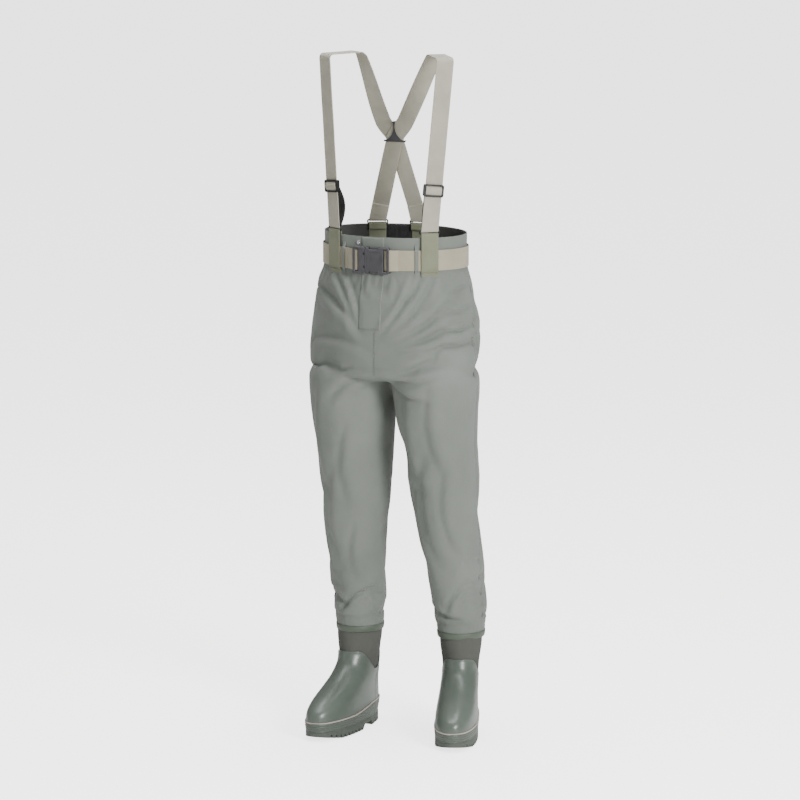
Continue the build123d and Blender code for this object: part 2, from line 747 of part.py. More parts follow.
for side, side_name in SIDES:
    profile = side_plane(side)
    outer = boot_form(side, 0)
    lined = boot_form(side, -rubber - fit)

    with BuildPart() as boot_upper:
        add(outer)
        add(boot_form(side, -rubber), mode=Mode.SUBTRACT)
        with BuildSketch(profile):
            with BuildLine():
                FilletPolyline(
                    (-big, tongue_z),
                    (-48, tongue_z),
                    (-10, dip_z),
                    (18, dip_z),
                    (66, heel_peak_z + 8),
                    (big, heel_peak_z + 8),
                    (big, -100),
                    (-big, -100),
                    radius=12,
                    close=True,
                )
            make_face()
        extrude(amount=big, both=True, mode=Mode.INTERSECT)
    save(boot_upper, f"{side_name}_boot_upper")

    with BuildPart() as bootie:
        add(lined)
        add(boot_form(side, -rubber - neoprene), mode=Mode.SUBTRACT)
        split(bisect_by=Plane.XY.offset(boot_height), keep=Keep.BOTTOM)
    save(bootie, f"{side_name}_neoprene_bootie")

    with BuildPart() as seam_band:
        add(boot_form(side, 5))
        add(leg_form(side, fit), mode=Mode.SUBTRACT)
        add(boot_form(side, -rubber), mode=Mode.SUBTRACT)
        with BuildSketch(Plane.XY.offset(hem_z - band_height / 2)):
            Rectangle(2 * big, 2 * big)
        extrude(amount=band_height, mode=Mode.INTERSECT)
    save(seam_band, f"{side_name}_seam_band")

    # the rand and the pale line above it follow one slope from toe to heel
    rand_line = [(-big, rand_toe_z), (-110, rand_toe_z), (-20, rand_heel_z), (big, rand_heel_z)]
    collar = boot_form(side, rand)
    with BuildPart() as rand_band:
        add(collar)
        add(boot_form(side, fit), mode=Mode.SUBTRACT)
        with BuildSketch(profile):
            with BuildLine():
                Polyline(*rand_line, (big, foot_z), (-big, foot_z), close=True)
            make_face()
        extrude(amount=big, both=True, mode=Mode.INTERSECT)
    save(rand_band, f"{side_name}_rand")

    with BuildPart() as line_band:
        add(collar)
        add(boot_form(side, fit), mode=Mode.SUBTRACT)
        with BuildSketch(profile):
            with BuildLine():
                top_line = [(x, z + pinstripe) for x, z in reversed(rand_line)]
                Polyline(*rand_line, *top_line, close=True)
            make_face()
        extrude(amount=big, both=True, mode=Mode.INTERSECT)
    save(line_band, f"{side_name}_pinstripe")

    with BuildPart() as outsole:
        z, toe, heel, ball, back = boot_levels[0]
        with BuildSketch(ground_plane(side, 0)):
            with BuildLine():
                Spline(*foot_outline(toe + rand, heel + rand, ball + rand, back + rand), periodic=True)
            make_face()
        extrude(amount=foot_z)
        with BuildSketch(profile):
            with BuildLine():
                Polyline(
                    (big, 0),
                    (heel_front, 0),
                    (heel_front - 4, waist_of_sole),
                    (heel_front - arch_length + 10, waist_of_sole),
                    (heel_front - arch_length, 0),
                    (sole_toe + toe_run, 0),
                    (sole_toe, toe_spring),
                    (-big, toe_spring),
                    (-big, foot_z),
                    (big, foot_z),
                    close=True,
                )
            make_face()
        extrude(amount=big, both=True, mode=Mode.INTERSECT)
        with BuildSketch(profile):
            groove_start = heel_front - arch_length - first_groove
            forefoot = int((groove_start - sole_toe) / groove_pitch)
            for n in range(forefoot):
                x = groove_start - n * groove_pitch
                rise = max(0, toe_spring * (sole_toe + toe_run - x) / toe_run)
                with Locations((x, rise - big / 2 + lug)):
                    Rectangle(groove, big)
            for x in (heel_front + heel_length / 3, heel_front + 2 * heel_length / 3):
                with Locations((x, lug - big / 2)):
                    Rectangle(groove, big)
        extrude(amount=big, both=True, mode=Mode.SUBTRACT)
    save(outsole, f"{side_name}_outsole")

    floor = foot_z + rubber + neoprene + fit
    with BuildPart() as footbed:
        z, toe, heel, ball, back = boot_levels[0]
        inset = rubber + neoprene + 1
        with BuildSketch(ground_plane(side, floor)):
            with BuildLine():
                Spline(*foot_outline(toe - inset, heel - inset, ball - inset, back - inset), periodic=True)
            make_face()
        extrude(amount=insole)
    save(footbed, f"{side_name}_insole")
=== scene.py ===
"""Chest waders: laminated fabric shell, crossed suspenders, side-release belt and moulded boots."""
import math

import bmesh
import bpy
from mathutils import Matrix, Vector, noise
from mathutils.bvhtree import BVHTree


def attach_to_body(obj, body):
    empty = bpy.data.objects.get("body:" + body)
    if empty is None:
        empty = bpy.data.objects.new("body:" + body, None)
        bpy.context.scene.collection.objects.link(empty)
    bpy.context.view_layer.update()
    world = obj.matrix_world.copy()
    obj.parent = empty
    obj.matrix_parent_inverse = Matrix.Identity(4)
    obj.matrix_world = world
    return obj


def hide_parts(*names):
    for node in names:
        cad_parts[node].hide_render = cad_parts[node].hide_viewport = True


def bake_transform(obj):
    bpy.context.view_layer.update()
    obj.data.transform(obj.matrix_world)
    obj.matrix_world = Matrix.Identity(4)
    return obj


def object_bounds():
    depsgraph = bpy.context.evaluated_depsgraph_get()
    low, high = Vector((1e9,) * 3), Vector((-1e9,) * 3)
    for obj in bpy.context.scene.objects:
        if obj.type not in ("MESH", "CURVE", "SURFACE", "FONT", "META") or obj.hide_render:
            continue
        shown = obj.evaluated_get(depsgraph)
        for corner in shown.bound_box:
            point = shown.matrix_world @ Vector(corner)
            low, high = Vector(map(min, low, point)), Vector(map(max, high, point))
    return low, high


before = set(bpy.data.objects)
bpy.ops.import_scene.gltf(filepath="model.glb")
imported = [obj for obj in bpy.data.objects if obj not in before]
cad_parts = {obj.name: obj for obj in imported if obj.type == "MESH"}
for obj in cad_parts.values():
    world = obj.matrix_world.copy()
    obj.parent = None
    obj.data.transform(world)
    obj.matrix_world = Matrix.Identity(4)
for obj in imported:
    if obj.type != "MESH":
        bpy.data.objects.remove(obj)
cad_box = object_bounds()


# ---------------------------------------------------------------- fabric shell
# The body of the waders is a laminated nylon, cut in four panels and sewn along the centre,
# the inside legs and the outside legs. It hangs from the straps, is drawn in by the belt
# and is slack enough to fold at the crotch, hips, knees and ankles.
RIGHT, LEFT = -1, 1  # the wearer's sides, as the sign of X
SIDES = ((RIGHT, "right"), (LEFT, "left"))
MM = 0.001
TRUNK = (  # height, half width and half depth, in millimetres
    (800, 150, 92),
    (822, 184, 124),
    (865, 187, 128),
    (916, 184, 126),
    (970, 177, 122),
    (1022, 168, 117),
    (1052, 161, 112.5),
    (1098, 160, 112),
    (1125, 160.5, 112.5),
    (1135, 160.5, 112.5),
)
LEG = (  # height, place from the middle plane, place behind the trunk's centre, half width, half depth
    (880, 88, 0, 62, 80),
    (840, 93, 0, 80, 102),
    (806, 94, 0, 92, 117),
    (754, 95, 2, 90, 108),
    (700, 96, 5, 86, 98),
    (645, 99, 15, 80, 92),
    (600, 101, 23, 76, 88),
    (560, 103, 31, 73, 84),
    (448, 111, 50, 64, 74),
    (335, 118, 74, 58, 67),
    (260, 119, 92, 54, 61),
    (236, 119, 96, 52, 59.5),
    (216, 119, 96, 50.5, 58.5),
    (206, 119, 96, 50, 58),
)
TRUNK_Y = -15.0  # front-to-back place of the trunk's centre
WAIST_X, WAIST_Y = 160.0, 112.0  # half width and half depth of the waist
FOLDS = (
    # side of the body, then start x and z, end x and z, width and height of the fold, in millimetres
    ("front", 8, 925, 66, 1046, 9, 6.0),
    ("front", 34, 930, 104, 1044, 10, 5.5),
    ("front", 52, 985, 82, 1046, 7, 4.0),
    ("front", 20, 905, 150, 1010, 13, 6.0),
    ("front", 40, 900, 166, 962, 12, 5.0),
    ("front", 60, 880, 172, 915, 11, 4.5),
    ("front", 138, 1012, 176, 1030, 7, 5.5),
    ("front", 140, 968, 182, 984, 7, 6.5),
    ("front", 142, 930, 186, 940, 7, 6.5),
    ("front", 140, 896, 186, 900, 8, 5.5),
    ("front", -46, 935, -98, 1046, 10, 5.5),
    ("front", -58, 925, -128, 1040, 11, 5.0),
    ("front", -40, 900, -158, 985, 14, 4.5),
    ("front", -16, 862, -150, 880, 14, 4.0),
    ("front", 10, 842, 120, 872, 12, 5.5),
    ("front", 18, 826, 132, 826, 11, 5.0),
    ("front", 24, 806, 110, 772, 11, 5.0),
    ("front", -20, 822, -110, 800, 12, 4.0),
    ("front", -30, 800, -96, 752, 11, 3.5),
    ("front", 70, 770, 96, 560, 17, 5.0),
    ("front", 132, 790, 140, 600, 15, 4.5),
    ("front", 104, 620, 118, 400, 16, 4.0),
    ("front", 148, 610, 152, 430, 13, 4.5),
    ("front", 66, 540, 84, 380, 12, 4.0),
    ("front", -128, 780, -132, 560, 15, 4.5),
    ("front", -62, 700, -80, 520, 15, 4.5),
    ("front", -104, 600, -118, 380, 16, 4.0),
    ("front", -70, 480, -90, 350, 12, 4.5),
    ("front", -150, 540, -148, 380, 12, 4.0),
    ("front", 78, 300, 140, 272, 9, 4.0),
    ("front", 160, 330, 116, 262, 9, 4.0),
    ("front", 84, 262, 150, 256, 7, 2.6),
    ("front", -84, 300, -130, 262, 9, 4.0),
    ("front", -158, 320, -108, 280, 9, 4.0),
    ("front", -150, 264, -88, 256, 7, 2.6),
    ("back", -10, 830, -130, 905, 14, 6.0),
    ("back", 10, 830, 130, 905, 14, 6.0),
    ("back", -18, 850, -90, 985, 13, 5.0),
    ("back", 18, 850, 90, 985, 13, 5.0),
    ("back", -30, 815, -150, 815, 12, 5.0),
    ("back", 30, 815, 150, 815, 12, 5.0),
    ("back", -60, 1046, -40, 930, 9, 4.5),
    ("back", 24, 1046, 14, 960, 9, 4.5),
    ("back", 66, 1046, 60, 940, 9, 4.5),
    ("back", -110, 1044, -90, 960, 9, 4.0),
    ("back", 120, 1044, 100, 950, 9, 4.0),
    ("back", 60, 600, 150, 575, 12, 5.5),
    ("back", -60, 600, -150, 575, 12, 5.5),
    ("back", 150, 545, 66, 520, 11, 5.0),
    ("back", -150, 545, -66, 520, 11, 5.0),
    ("back", 90, 780, 100, 640, 17, 4.5),
    ("back", -90, 780, -100, 640, 17, 4.5),
    ("back", 100, 500, 118, 330, 15, 4.5),
    ("back", -100, 500, -118, 330, 15, 4.5),
    ("back", 84, 285, 150, 262, 9, 4.0),
    ("back", -84, 285, -150, 262, 9, 4.0),
)


def activate(piece):
    """Make a piece the only one selected, and active."""
    bpy.ops.object.select_all(action="DESELECT")
    piece.select_set(True)
    bpy.context.view_layer.objects.active = piece


def apply_modifiers(piece):
    """Apply every modifier of a piece, in order."""
    activate(piece)
    for modifier in list(piece.modifiers):
        bpy.ops.object.modifier_apply(modifier=modifier.name)


def tube(name, rings, sides=64):
    """A closed tube extruded ring by ring, each a centre, a half width and a half depth in millimetres."""
    (x, y, z), wide, deep = rings[0]
    bpy.ops.object.select_all(action="DESELECT")
    bpy.ops.mesh.primitive_circle_add(vertices=sides, radius=MM, fill_type="NGON", location=(0, 0, 0))
    piece = bpy.context.object
    piece.name = name
    bpy.ops.object.mode_set(mode="EDIT")
    bpy.ops.mesh.select_all(action="SELECT")
    bpy.ops.transform.resize(value=(wide, deep, 1), center_override=(0, 0, 0))
    bpy.ops.transform.translate(value=(x * MM, y * MM, z * MM))
    for (next_x, next_y, next_z), next_wide, next_deep in rings[1:]:
        bpy.ops.mesh.extrude_region_move()
        bpy.ops.transform.resize(
            value=(next_wide / wide, next_deep / deep, 1), center_override=(x * MM, y * MM, z * MM)
        )
        bpy.ops.transform.translate(value=((next_x - x) * MM, (next_y - y) * MM, (next_z - z) * MM))
        x, y, z, wide, deep = next_x, next_y, next_z, next_wide, next_deep
    bpy.ops.mesh.select_all(action="SELECT")
    bpy.ops.mesh.normals_make_consistent(inside=False)
    bpy.ops.object.mode_set(mode="OBJECT")
    return piece


def between(levels, spacing):
    """Levels with more laid smoothly between them, so that a ring falls about every spacing."""
    out = []
    for n in range(len(levels) - 1):
        before, a, b = levels[max(n - 1, 0)], levels[n], levels[n + 1]
        after = levels[min(n + 2, len(levels) - 1)]
        steps = max(1, round(abs(b[0] - a[0]) / spacing))
        for step in range(steps):
            t = step / steps
            row = []
            for p, q, r, s in zip(before, a, b, after):
                bend_in, bend_out = (r - p) / 2, (s - q) / 2
                row.append(
                    q * (1 + 2 * t) * (1 - t) ** 2 + bend_in * t * (1 - t) ** 2
                    + r * t * t * (3 - 2 * t) - bend_out * t * t * (1 - t)
                )
            row[0] = a[0] + (b[0] - a[0]) * t
            out.append(tuple(row))
    out.append(levels[-1])
    return out


def fold_lift(place, normal):
    """How far the slack fabric stands out at one place, from every fold that crosses it."""
    x, y, z = place.x / MM, place.y / MM, place.z / MM
    lift = 0.0
    for where, x0, z0, x1, z1, width, height in FOLDS:
        facing = -normal.y if where == "front" else normal.y
        if facing <= 0.05:
            continue
        along_x, along_z = x1 - x0, z1 - z0
        length = math.hypot(along_x, along_z)
        along = ((x - x0) * along_x + (z - z0) * along_z) / length**2
        if not -0.1 < along < 1.1:
            continue
        bow = 0.08 * length * math.sin(math.pi * along)
        across = ((x - x0) * along_z - (z - z0) * along_x) / length - bow
        if abs(across) > 4 * width:
            continue
        taper = max(0.0, math.sin(math.pi * min(1, max(0, (along + 0.1) / 1.2)))) ** 0.7
        ridge = math.exp(-((across / width) ** 2))
        valley = math.exp(-(((across - 1.25 * width) / (0.6 * width)) ** 2))
        lift += height * taper * (ridge - 0.9 * valley) * min(1, facing * 2.2)
    return lift * MM


def shell_form():
    """The trunk and both legs grown together into one skin."""
    trunk = tube("trunk", [((0, TRUNK_Y, z), a, b) for z, a, b in between(TRUNK, 14)], 96)
    legs = []
    for side, _ in SIDES:
        rings = [((side * x, TRUNK_Y + y, z), a, b) for z, x, y, a, b in between(LEG, 14)]
        legs.append(tube("leg", rings, 64))
    activate(trunk)
    for leg in legs:
        leg.select_set(True)
    bpy.ops.object.join()
    remesh = trunk.modifiers.new("grow together", "REMESH")
    remesh.mode = "VOXEL"
    remesh.voxel_size = 6.0 * MM
    smooth = trunk.modifiers.new("soften", "SMOOTH")
    smooth.factor = 0.5
    smooth.iterations = 6
    apply_modifiers(trunk)
    return trunk


def colour(hex_value):
    """An sRGB hex colour as the linear colour that a shader takes."""
    channels = [int(hex_value[n : n + 2], 16) / 255 for n in (1, 3, 5)]
    return [c / 12.92 if c <= 0.04045 else ((c + 0.055) / 1.055) ** 2.4 for c in channels] + [1.0]


def add_node(material, kind, settings=None, **links):
    """Add one node, set its sockets and properties, and link what feeds it."""
    node = material.node_tree.nodes.new(kind)
    for key, value in (settings or {}).items():
        if key in node.inputs:
            node.inputs[key].default_value = value
        else:
            setattr(node, key, value)
    for key, source in links.items():
        material.node_tree.links.new(source, node.inputs[key.replace("_", " ")])
    return node


def new_material(name, roughness, **sockets):
    """A material with its shader, whose even values are set on the shader itself."""
    material = bpy.data.materials.new(name)
    material.use_nodes = True
    shader = material.node_tree.nodes["Principled BSDF"]
    shader.inputs["Roughness"].default_value = roughness
    for key, value in sockets.items():
        shader.inputs[key.replace("_", " ")].default_value = value
    return material, shader


def mottled(material, shader, where, scale, dark, light, detail=4.0):
    """Colour that drifts between two close shades."""
    spots = add_node(material, "ShaderNodeTexNoise", {"Scale": scale, "Detail": detail}, Vector=where)
    ramp = add_node(material, "ShaderNodeValToRGB", {}, Fac=spots.outputs["Fac"])
    ramp.color_ramp.elements[0].position = 0.3
    ramp.color_ramp.elements[0].color = colour(dark)
    ramp.color_ramp.elements[1].position = 0.7
    ramp.color_ramp.elements[1].color = colour(light)
    material.node_tree.links.new(ramp.outputs["Color"], shader.inputs["Base Color"])
    return ramp


def bumped(material, shader, height, distance, strength=1.0, after=None):
    """Relief of a real height in metres, on top of another bump where one is given."""
    settings = {"Distance": distance, "Strength": strength}
    bump = add_node(material, "ShaderNodeBump", settings, Height=height)
    if after:
        material.node_tree.links.new(after.outputs["Normal"], bump.inputs["Normal"])
    material.node_tree.links.new(bump.outputs["Normal"], shader.inputs["Normal"])
    return bump


def nylon(name, dark, light):
    """Laminated nylon: a fine plain weave with a matt, slightly silvery face."""
    sockets = {"Sheen_Weight": 0.12, "Sheen_Roughness": 0.5, "Specular_IOR_Level": 0.28}
    material, shader = new_material(name, 0.74, **sockets)
    where = add_node(material, "ShaderNodeTexCoord").outputs["Object"]
    mottled(material, shader, where, 7.0, dark, light)
    # the threads are 0.4 mm apart, drawn 1.8 mm apart so that they show
    thread = 1.8 * MM
    heights = []
    for direction in ("X", "Z"):
        settings = {
            "wave_type": "BANDS", "bands_direction": direction, "Scale": 0.314 / thread / 6.2832 * 3.2,
            "Distortion": 1.2, "Detail": 1.0, "Detail Scale": 30.0,
        }
        wave = add_node(material, "ShaderNodeTexWave", settings, Vector=where)
        heights.append(wave.outputs["Fac"])
    both = add_node(material, "ShaderNodeMath", {"operation": "MULTIPLY"})
    material.node_tree.links.new(heights[0], both.inputs[0])
    material.node_tree.links.new(heights[1], both.inputs[1])
    weave = bumped(material, shader, both.outputs[0], 0.12 * MM, 0.5)
    creases = {"Scale": 55.0, "Detail": 6.0, "Roughness": 0.62}
    rumple = add_node(material, "ShaderNodeTexNoise", creases, Vector=where)
    bumped(material, shader, rumple.outputs["Fac"], 1.6 * MM, 0.35, weave)
    return material


# The slack shows as folds pulled from the crotch, the belt, the knees and the ankles. A short
# cloth simulation of slightly too large a skin adds the small buckles between them.
def fold_shell(piece):
    """Lift the folds out of the skin, least where the belt and the boots hold it."""
    places = [vertex.co.copy() for vertex in piece.data.vertices]
    normals = [vertex.normal.copy() for vertex in piece.data.vertices]
    for vertex, place, normal in zip(piece.data.vertices, places, normals):
        z = place.z / MM
        held = min(1.0, max(0.0, (1050 - z) / 30)) * min(1.0, max(0.0, (z - 240) / 14))
        rough = noise.noise(place * 14) * 1.6 + noise.noise(place * 38) * 0.6
        belt_pull = math.exp(-(((z - 1038) / 16) ** 2)) * math.sin(math.atan2(place.y, place.x) * 46) * 0.8
        lift = fold_lift(place, normal) + rough * MM
        vertex.co = place + normal * (held * lift + belt_pull * MM * held)


def relax_shell(piece):
    """Cloth simulation of the skin, a few percent too large for its space and held at its ends."""
    group = piece.vertex_groups.new(name="held")
    for vertex in piece.data.vertices:
        z = vertex.co.z / MM
        hold = max(min(1.0, (z - 1030) / 25), min(1.0, (250 - z) / 20), 0.0)
        group.add([vertex.index], hold, "REPLACE")
    start = [vertex.co.copy() for vertex in piece.data.vertices]
    cloth = piece.modifiers.new("slack", "CLOTH")
    cloth.settings.quality = 5
    cloth.settings.mass = 0.25
    cloth.settings.tension_stiffness = 12
    cloth.settings.compression_stiffness = 12
    cloth.settings.shear_stiffness = 6
    cloth.settings.bending_stiffness = 2.0
    cloth.settings.shrink_min = -0.035
    cloth.settings.use_pressure = True
    cloth.settings.uniform_pressure_force = 0.6
    cloth.settings.vertex_group_mass = "held"
    cloth.settings.effector_weights.gravity = 0.0
    cloth.collision_settings.use_collision = False
    cloth.point_cache.frame_start = 1
    cloth.point_cache.frame_end = 20
    for step in range(1, 21):
        bpy.context.scene.frame_set(step)
    apply_modifiers(piece)
    bpy.context.scene.frame_set(1)
    cap = 9 * MM
    for vertex, before in zip(piece.data.vertices, start):
        move = vertex.co - before
        if move.length > cap:
            vertex.co = before + move * (cap / move.length)


shell = shell_form()
shell.name = "fabric_shell"
fold_shell(shell)
relax_shell(shell)
activate(shell)
bpy.ops.object.mode_set(mode="EDIT")
for height, clear_outer in ((1125, True), (217, False)):
    bpy.ops.mesh.select_all(action="SELECT")
    bpy.ops.mesh.bisect(
        plane_co=(0, 0, height * MM), plane_no=(0, 0, 1), clear_outer=clear_outer, clear_inner=not clear_outer
    )
bpy.ops.object.mode_set(mode="OBJECT")
solid = shell.modifiers.new("thickness", "SOLIDIFY")
solid.thickness = 1.2 * MM
solid.offset = -1
apply_modifiers(shell)
activate(shell)
bpy.ops.object.shade_smooth()
fabric = nylon("laminated nylon", "#6a6f69", "#747973")
shell.data.materials.append(fabric)
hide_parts("right_front_panel", "left_front_panel", "right_back_panel", "left_back_panel")
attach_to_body(shell, "waders")


# ---------------------------------------------------------------- webbing
# All the straps are flat woven webbing, 1.6 mm thick with a slightly raised selvedge.
WEBBING = 1.6


def finished(name, mesh):
    """An object of this name from a finished bmesh."""
    data = bpy.data.meshes.new(name)
    mesh.to_mesh(data)
    mesh.free()
    piece = bpy.data.objects.new(name, data)
    bpy.context.scene.collection.objects.link(piece)
    return piece


def ribbon(name, stations, width, thickness=WEBBING, spacing=6.0, ripple=0.0):
    """A flat strip through stations, each a point, its direction and its outer side, in millimetres."""
    rows = []
    travelled = 0.0
    for n in range(len(stations) - 1):
        (p, along_p, outer_p), (q, along_q, outer_q) = stations[n], stations[n + 1]
        length = (q - p).length
        steps = max(2, round(length / spacing))
        for step in range(steps + (n == len(stations) - 2)):
            t = step / steps
            point = (
                p * (1 + 2 * t) * (1 - t) ** 2 + along_p * length * t * (1 - t) ** 2
                + q * t * t * (3 - 2 * t) - along_q * length * t * t * (1 - t)
            )
            along = along_p.lerp(along_q, t)
            if 0 < t < 1:
                slope = (
                    (q - p) * 6 * t * (1 - t) + along_p * length * (1 - t) * (1 - 3 * t)
                    + along_q * length * t * (3 * t - 2)
                )
                along = slope if slope.length > 0.05 * length else along
            along = along.normalized()
            outer = outer_p.lerp(outer_q, t)
            outer = (outer - along * outer.dot(along)).normalized()
            sway = ripple * noise.noise(Vector((travelled + length * t, 7.0, len(name))) / 55)
            rows.append((point + outer * sway, along.cross(outer), outer, travelled + length * t))
        travelled += length
    half, thick = width / 2, thickness / 2
    edge = 1.4
    section = [
        (-half, 0.0), (-half + 0.3, thick), (-half + edge, thick), (-half * 0.5, thick), (0.0, thick),
        (half * 0.5, thick), (half - edge, thick), (half - 0.3, thick), (half, 0.0),
        (half - 0.3, -thick), (half - edge, -thick), (0.0, -thick),
        (-half + edge, -thick), (-half + 0.3, -thick),
    ]
    mesh = bmesh.new()
    uv = mesh.loops.layers.uv.new("UVMap")
    grid = []
    for point, across, outer, _ in rows:
        grid.append([mesh.verts.new((point + across * a + outer * b) * MM) for a, b in section])
    count = len(section)
    for n in range(len(rows) - 1):
        for k in range(count):
            k2 = (k + 1) % count
            face = mesh.faces.new((grid[n][k], grid[n][k2], grid[n + 1][k2], grid[n + 1][k]))
            face.smooth = True
            places = ((n, k), (n, k2), (n + 1, k2), (n + 1, k))
            for loop, (row, column) in zip(face.loops, places):
                loop[uv].uv = ((section[column][0] + half) * MM, rows[row][3] * MM)
    for row in (0, -1):
        face = mesh.faces.new(grid[row] if row == 0 else list(reversed(grid[row])))
        for loop in face.loops:
            loop[uv].uv = (0.0, rows[row][3] * MM)
    bmesh.ops.recalc_face_normals(mesh, faces=mesh.faces)
    return finished(name, mesh)


def webbing_cloth(name, base, light, rib_across=2.2, rib_along=1.9):
    """Woven webbing: a close twill of thick yarns, with a soft sheen and slightly uneven dye."""
    sockets = {"Sheen_Weight": 0.2, "Sheen_Roughness": 0.45, "Specular_IOR_Level": 0.25}
    material, shader = new_material(name, 0.78, **sockets)
    tex = add_node(material, "ShaderNodeTexCoord")
    mottled(material, shader, tex.outputs["Object"], 26.0, base, light)
    # yarns are 1 mm apart in the real webbing and are drawn about twice that
    heights = []
    for direction, pitch in (("X", rib_across), ("Y", rib_along)):
        settings = {"wave_type": "BANDS", "bands_direction": direction}
        settings.update({"Scale": 0.314 / (pitch * MM), "Distortion": 0.0})
        wave = add_node(material, "ShaderNodeTexWave", settings, Vector=tex.outputs["UV"])
        heights.append(wave.outputs["Fac"])
    both = add_node(material, "ShaderNodeMath", {"operation": "MULTIPLY"})
    material.node_tree.links.new(heights[0], both.inputs[0])
    material.node_tree.links.new(heights[1], both.inputs[1])
    weave = bumped(material, shader, both.outputs[0], 0.35 * MM, 0.7)
    where = tex.outputs["Object"]
    fuzz = add_node(material, "ShaderNodeTexNoise", {"Scale": 900.0, "Detail": 3.0}, Vector=where)
    bumped(material, shader, fuzz.outputs["Fac"], 0.2 * MM, 0.4, weave)
    return material


def plastic(name, dark, light, roughness):
    """Moulded acetal: an even spark-eroded texture, a low gloss and colour that drifts between two close
    shades.
    """
    material, shader = new_material(name, roughness, Specular_IOR_Level=0.45)
    where = add_node(material, "ShaderNodeTexCoord").outputs["Object"]
    mottled(material, shader, where, 60.0, dark, light)
    grain = add_node(material, "ShaderNodeTexNoise", {"Scale": 1400.0, "Detail": 2.0}, Vector=where)
    bumped(material, shader, grain.outputs["Fac"], 0.08 * MM, 0.5)
    return material


def rubber_skin(name, dark, light, roughness, grain_size=0.9, coat=0.0):
    """Moulded rubber: smooth and satin, clouded where it was dusted or handled."""
    sockets = {"Specular_IOR_Level": 0.5, "Coat_Weight": coat, "Coat_Roughness": 0.35}
    material, shader = new_material(name, roughness, **sockets)
    where = add_node(material, "ShaderNodeTexCoord").outputs["Object"]
    mottled(material, shader, where, 9.0, dark, light, 6.0)
    cloud = add_node(material, "ShaderNodeTexNoise", {"Scale": 22.0, "Detail": 8.0}, Vector=where)
    limits = {"To Min": roughness - 0.07, "To Max": roughness + 0.1}
    spread = add_node(material, "ShaderNodeMapRange", limits, Value=cloud.outputs["Fac"])
    material.node_tree.links.new(spread.outputs["Result"], shader.inputs["Roughness"])
    settings = {"Scale": 1.0 / (grain_size * MM), "Detail": 3.0}
    grain = add_node(material, "ShaderNodeTexNoise", settings, Vector=where)
    bumped(material, shader, grain.outputs["Fac"], 0.1 * MM, 0.35)
    return material


def attach(piece, finish, slot_name, body, *nodes):
    """Give a piece its material, hide the CAD nodes that it stands for and attach it to the body that it
    moves with.
    """
    piece.data.materials.clear()
    piece.data.materials.append(finish)
    if nodes:
        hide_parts(*nodes)
    if body:
        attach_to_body(piece, body)


def grid_mesh(name, rows, closed=False):
    """A sheet of quads through rows of places in millimetres; closed joins each row's end to its start."""
    mesh = bmesh.new()
    grid = [[mesh.verts.new(Vector(p) * MM) for p in row] for row in rows]
    for low, high in zip(grid, grid[1:]):
        for n in range(len(low) - (0 if closed else 1)):
            m = (n + 1) % len(low)
            mesh.faces.new((low[n], low[m], high[m], high[n])).smooth = True
    return finished(name, mesh)


def thicken(piece, amount, offset=-1.0):
    """Give a sheet its real thickness."""
    solid = piece.modifiers.new("thickness", "SOLIDIFY")
    solid.thickness = amount * MM
    solid.offset = offset
    apply_modifiers(piece)


def stitches(name, line, pitch=3.0, length=2.0, radius=0.3):
    """Thread along a line of places and their outer sides: one short raised stitch after another."""
    mesh = bmesh.new()
    travelled, due = 0.0, 0.0
    for (a, outer_a), (b, outer_b) in zip(line, line[1:]):
        run = (b - a).length
        if run < 1e-6:
            continue
        along = (b - a) / run
        while due <= travelled + run:
            t = (due - travelled) / run
            outer = outer_a.lerp(outer_b, t).normalized()
            middle, across = a.lerp(b, t) + outer * radius * 0.5, along.cross(outer).normalized()
            ends = [mesh.verts.new((middle + along * k * length / 2) * MM) for k in (-1, 1)]
            ring = [
                mesh.verts.new((middle + (across * math.cos(c) + outer * math.sin(c)) * radius) * MM)
                for c in (0, math.pi / 2, math.pi, 1.5 * math.pi)
            ]
            for k in range(4):
                for end in ends:
                    mesh.faces.new((ring[k], ring[(k + 1) % 4], end)).smooth = True
            due += pitch
        travelled += run
    bmesh.ops.recalc_face_normals(mesh, faces=mesh.faces)
    return finished(name, mesh)


# ---------------------------------------------------------------- seams of the shell
# The panels are joined with flat seams, taped on the inside and stitched in two rows: one down
# the middle of the seat and front, one down the outside of each leg.
skin = BVHTree.FromObject(shell, bpy.context.evaluated_depsgraph_get())


def on_shell(start, aim, out=0.0):
    """The place where a line from outside first meets the shell, and the shell's outer side there."""
    start, aim = Vector(start), Vector(aim)
    place, normal, _, _ = skin.ray_cast(start * MM, (aim - start).normalized())
    if place is None:
        return None
    if normal.dot(aim - start) > 0:
        normal = -normal
    return place / MM + normal * out, normal


def seam(name, line, width=7.0, thread_rows=(-2.2, 2.2)):
    """A flat felled seam through places on the shell, with its rows of stitches."""
    line = [p for p in line if p]
    stations = []
    for n, (place, normal) in enumerate(line):
        after, before = line[min(n + 1, len(line) - 1)][0], line[max(n - 1, 0)][0]
        stations.append((place, (after - before).normalized(), normal))
    strip = ribbon(name, stations, width, thickness=0.9, spacing=8)
    attach(strip, fabric, "shell_fabric", "waders")
    for count, aside in enumerate(thread_rows):
        rows = []
        for place, along, outer in stations:
            rows.append((place + along.cross(outer).normalized() * aside + outer * 0.45, outer))
        sewn = stitches(f"{name}_stitches_{count + 1}", rows)
        attach(sewn, thread, "shell_fabric", "waders")


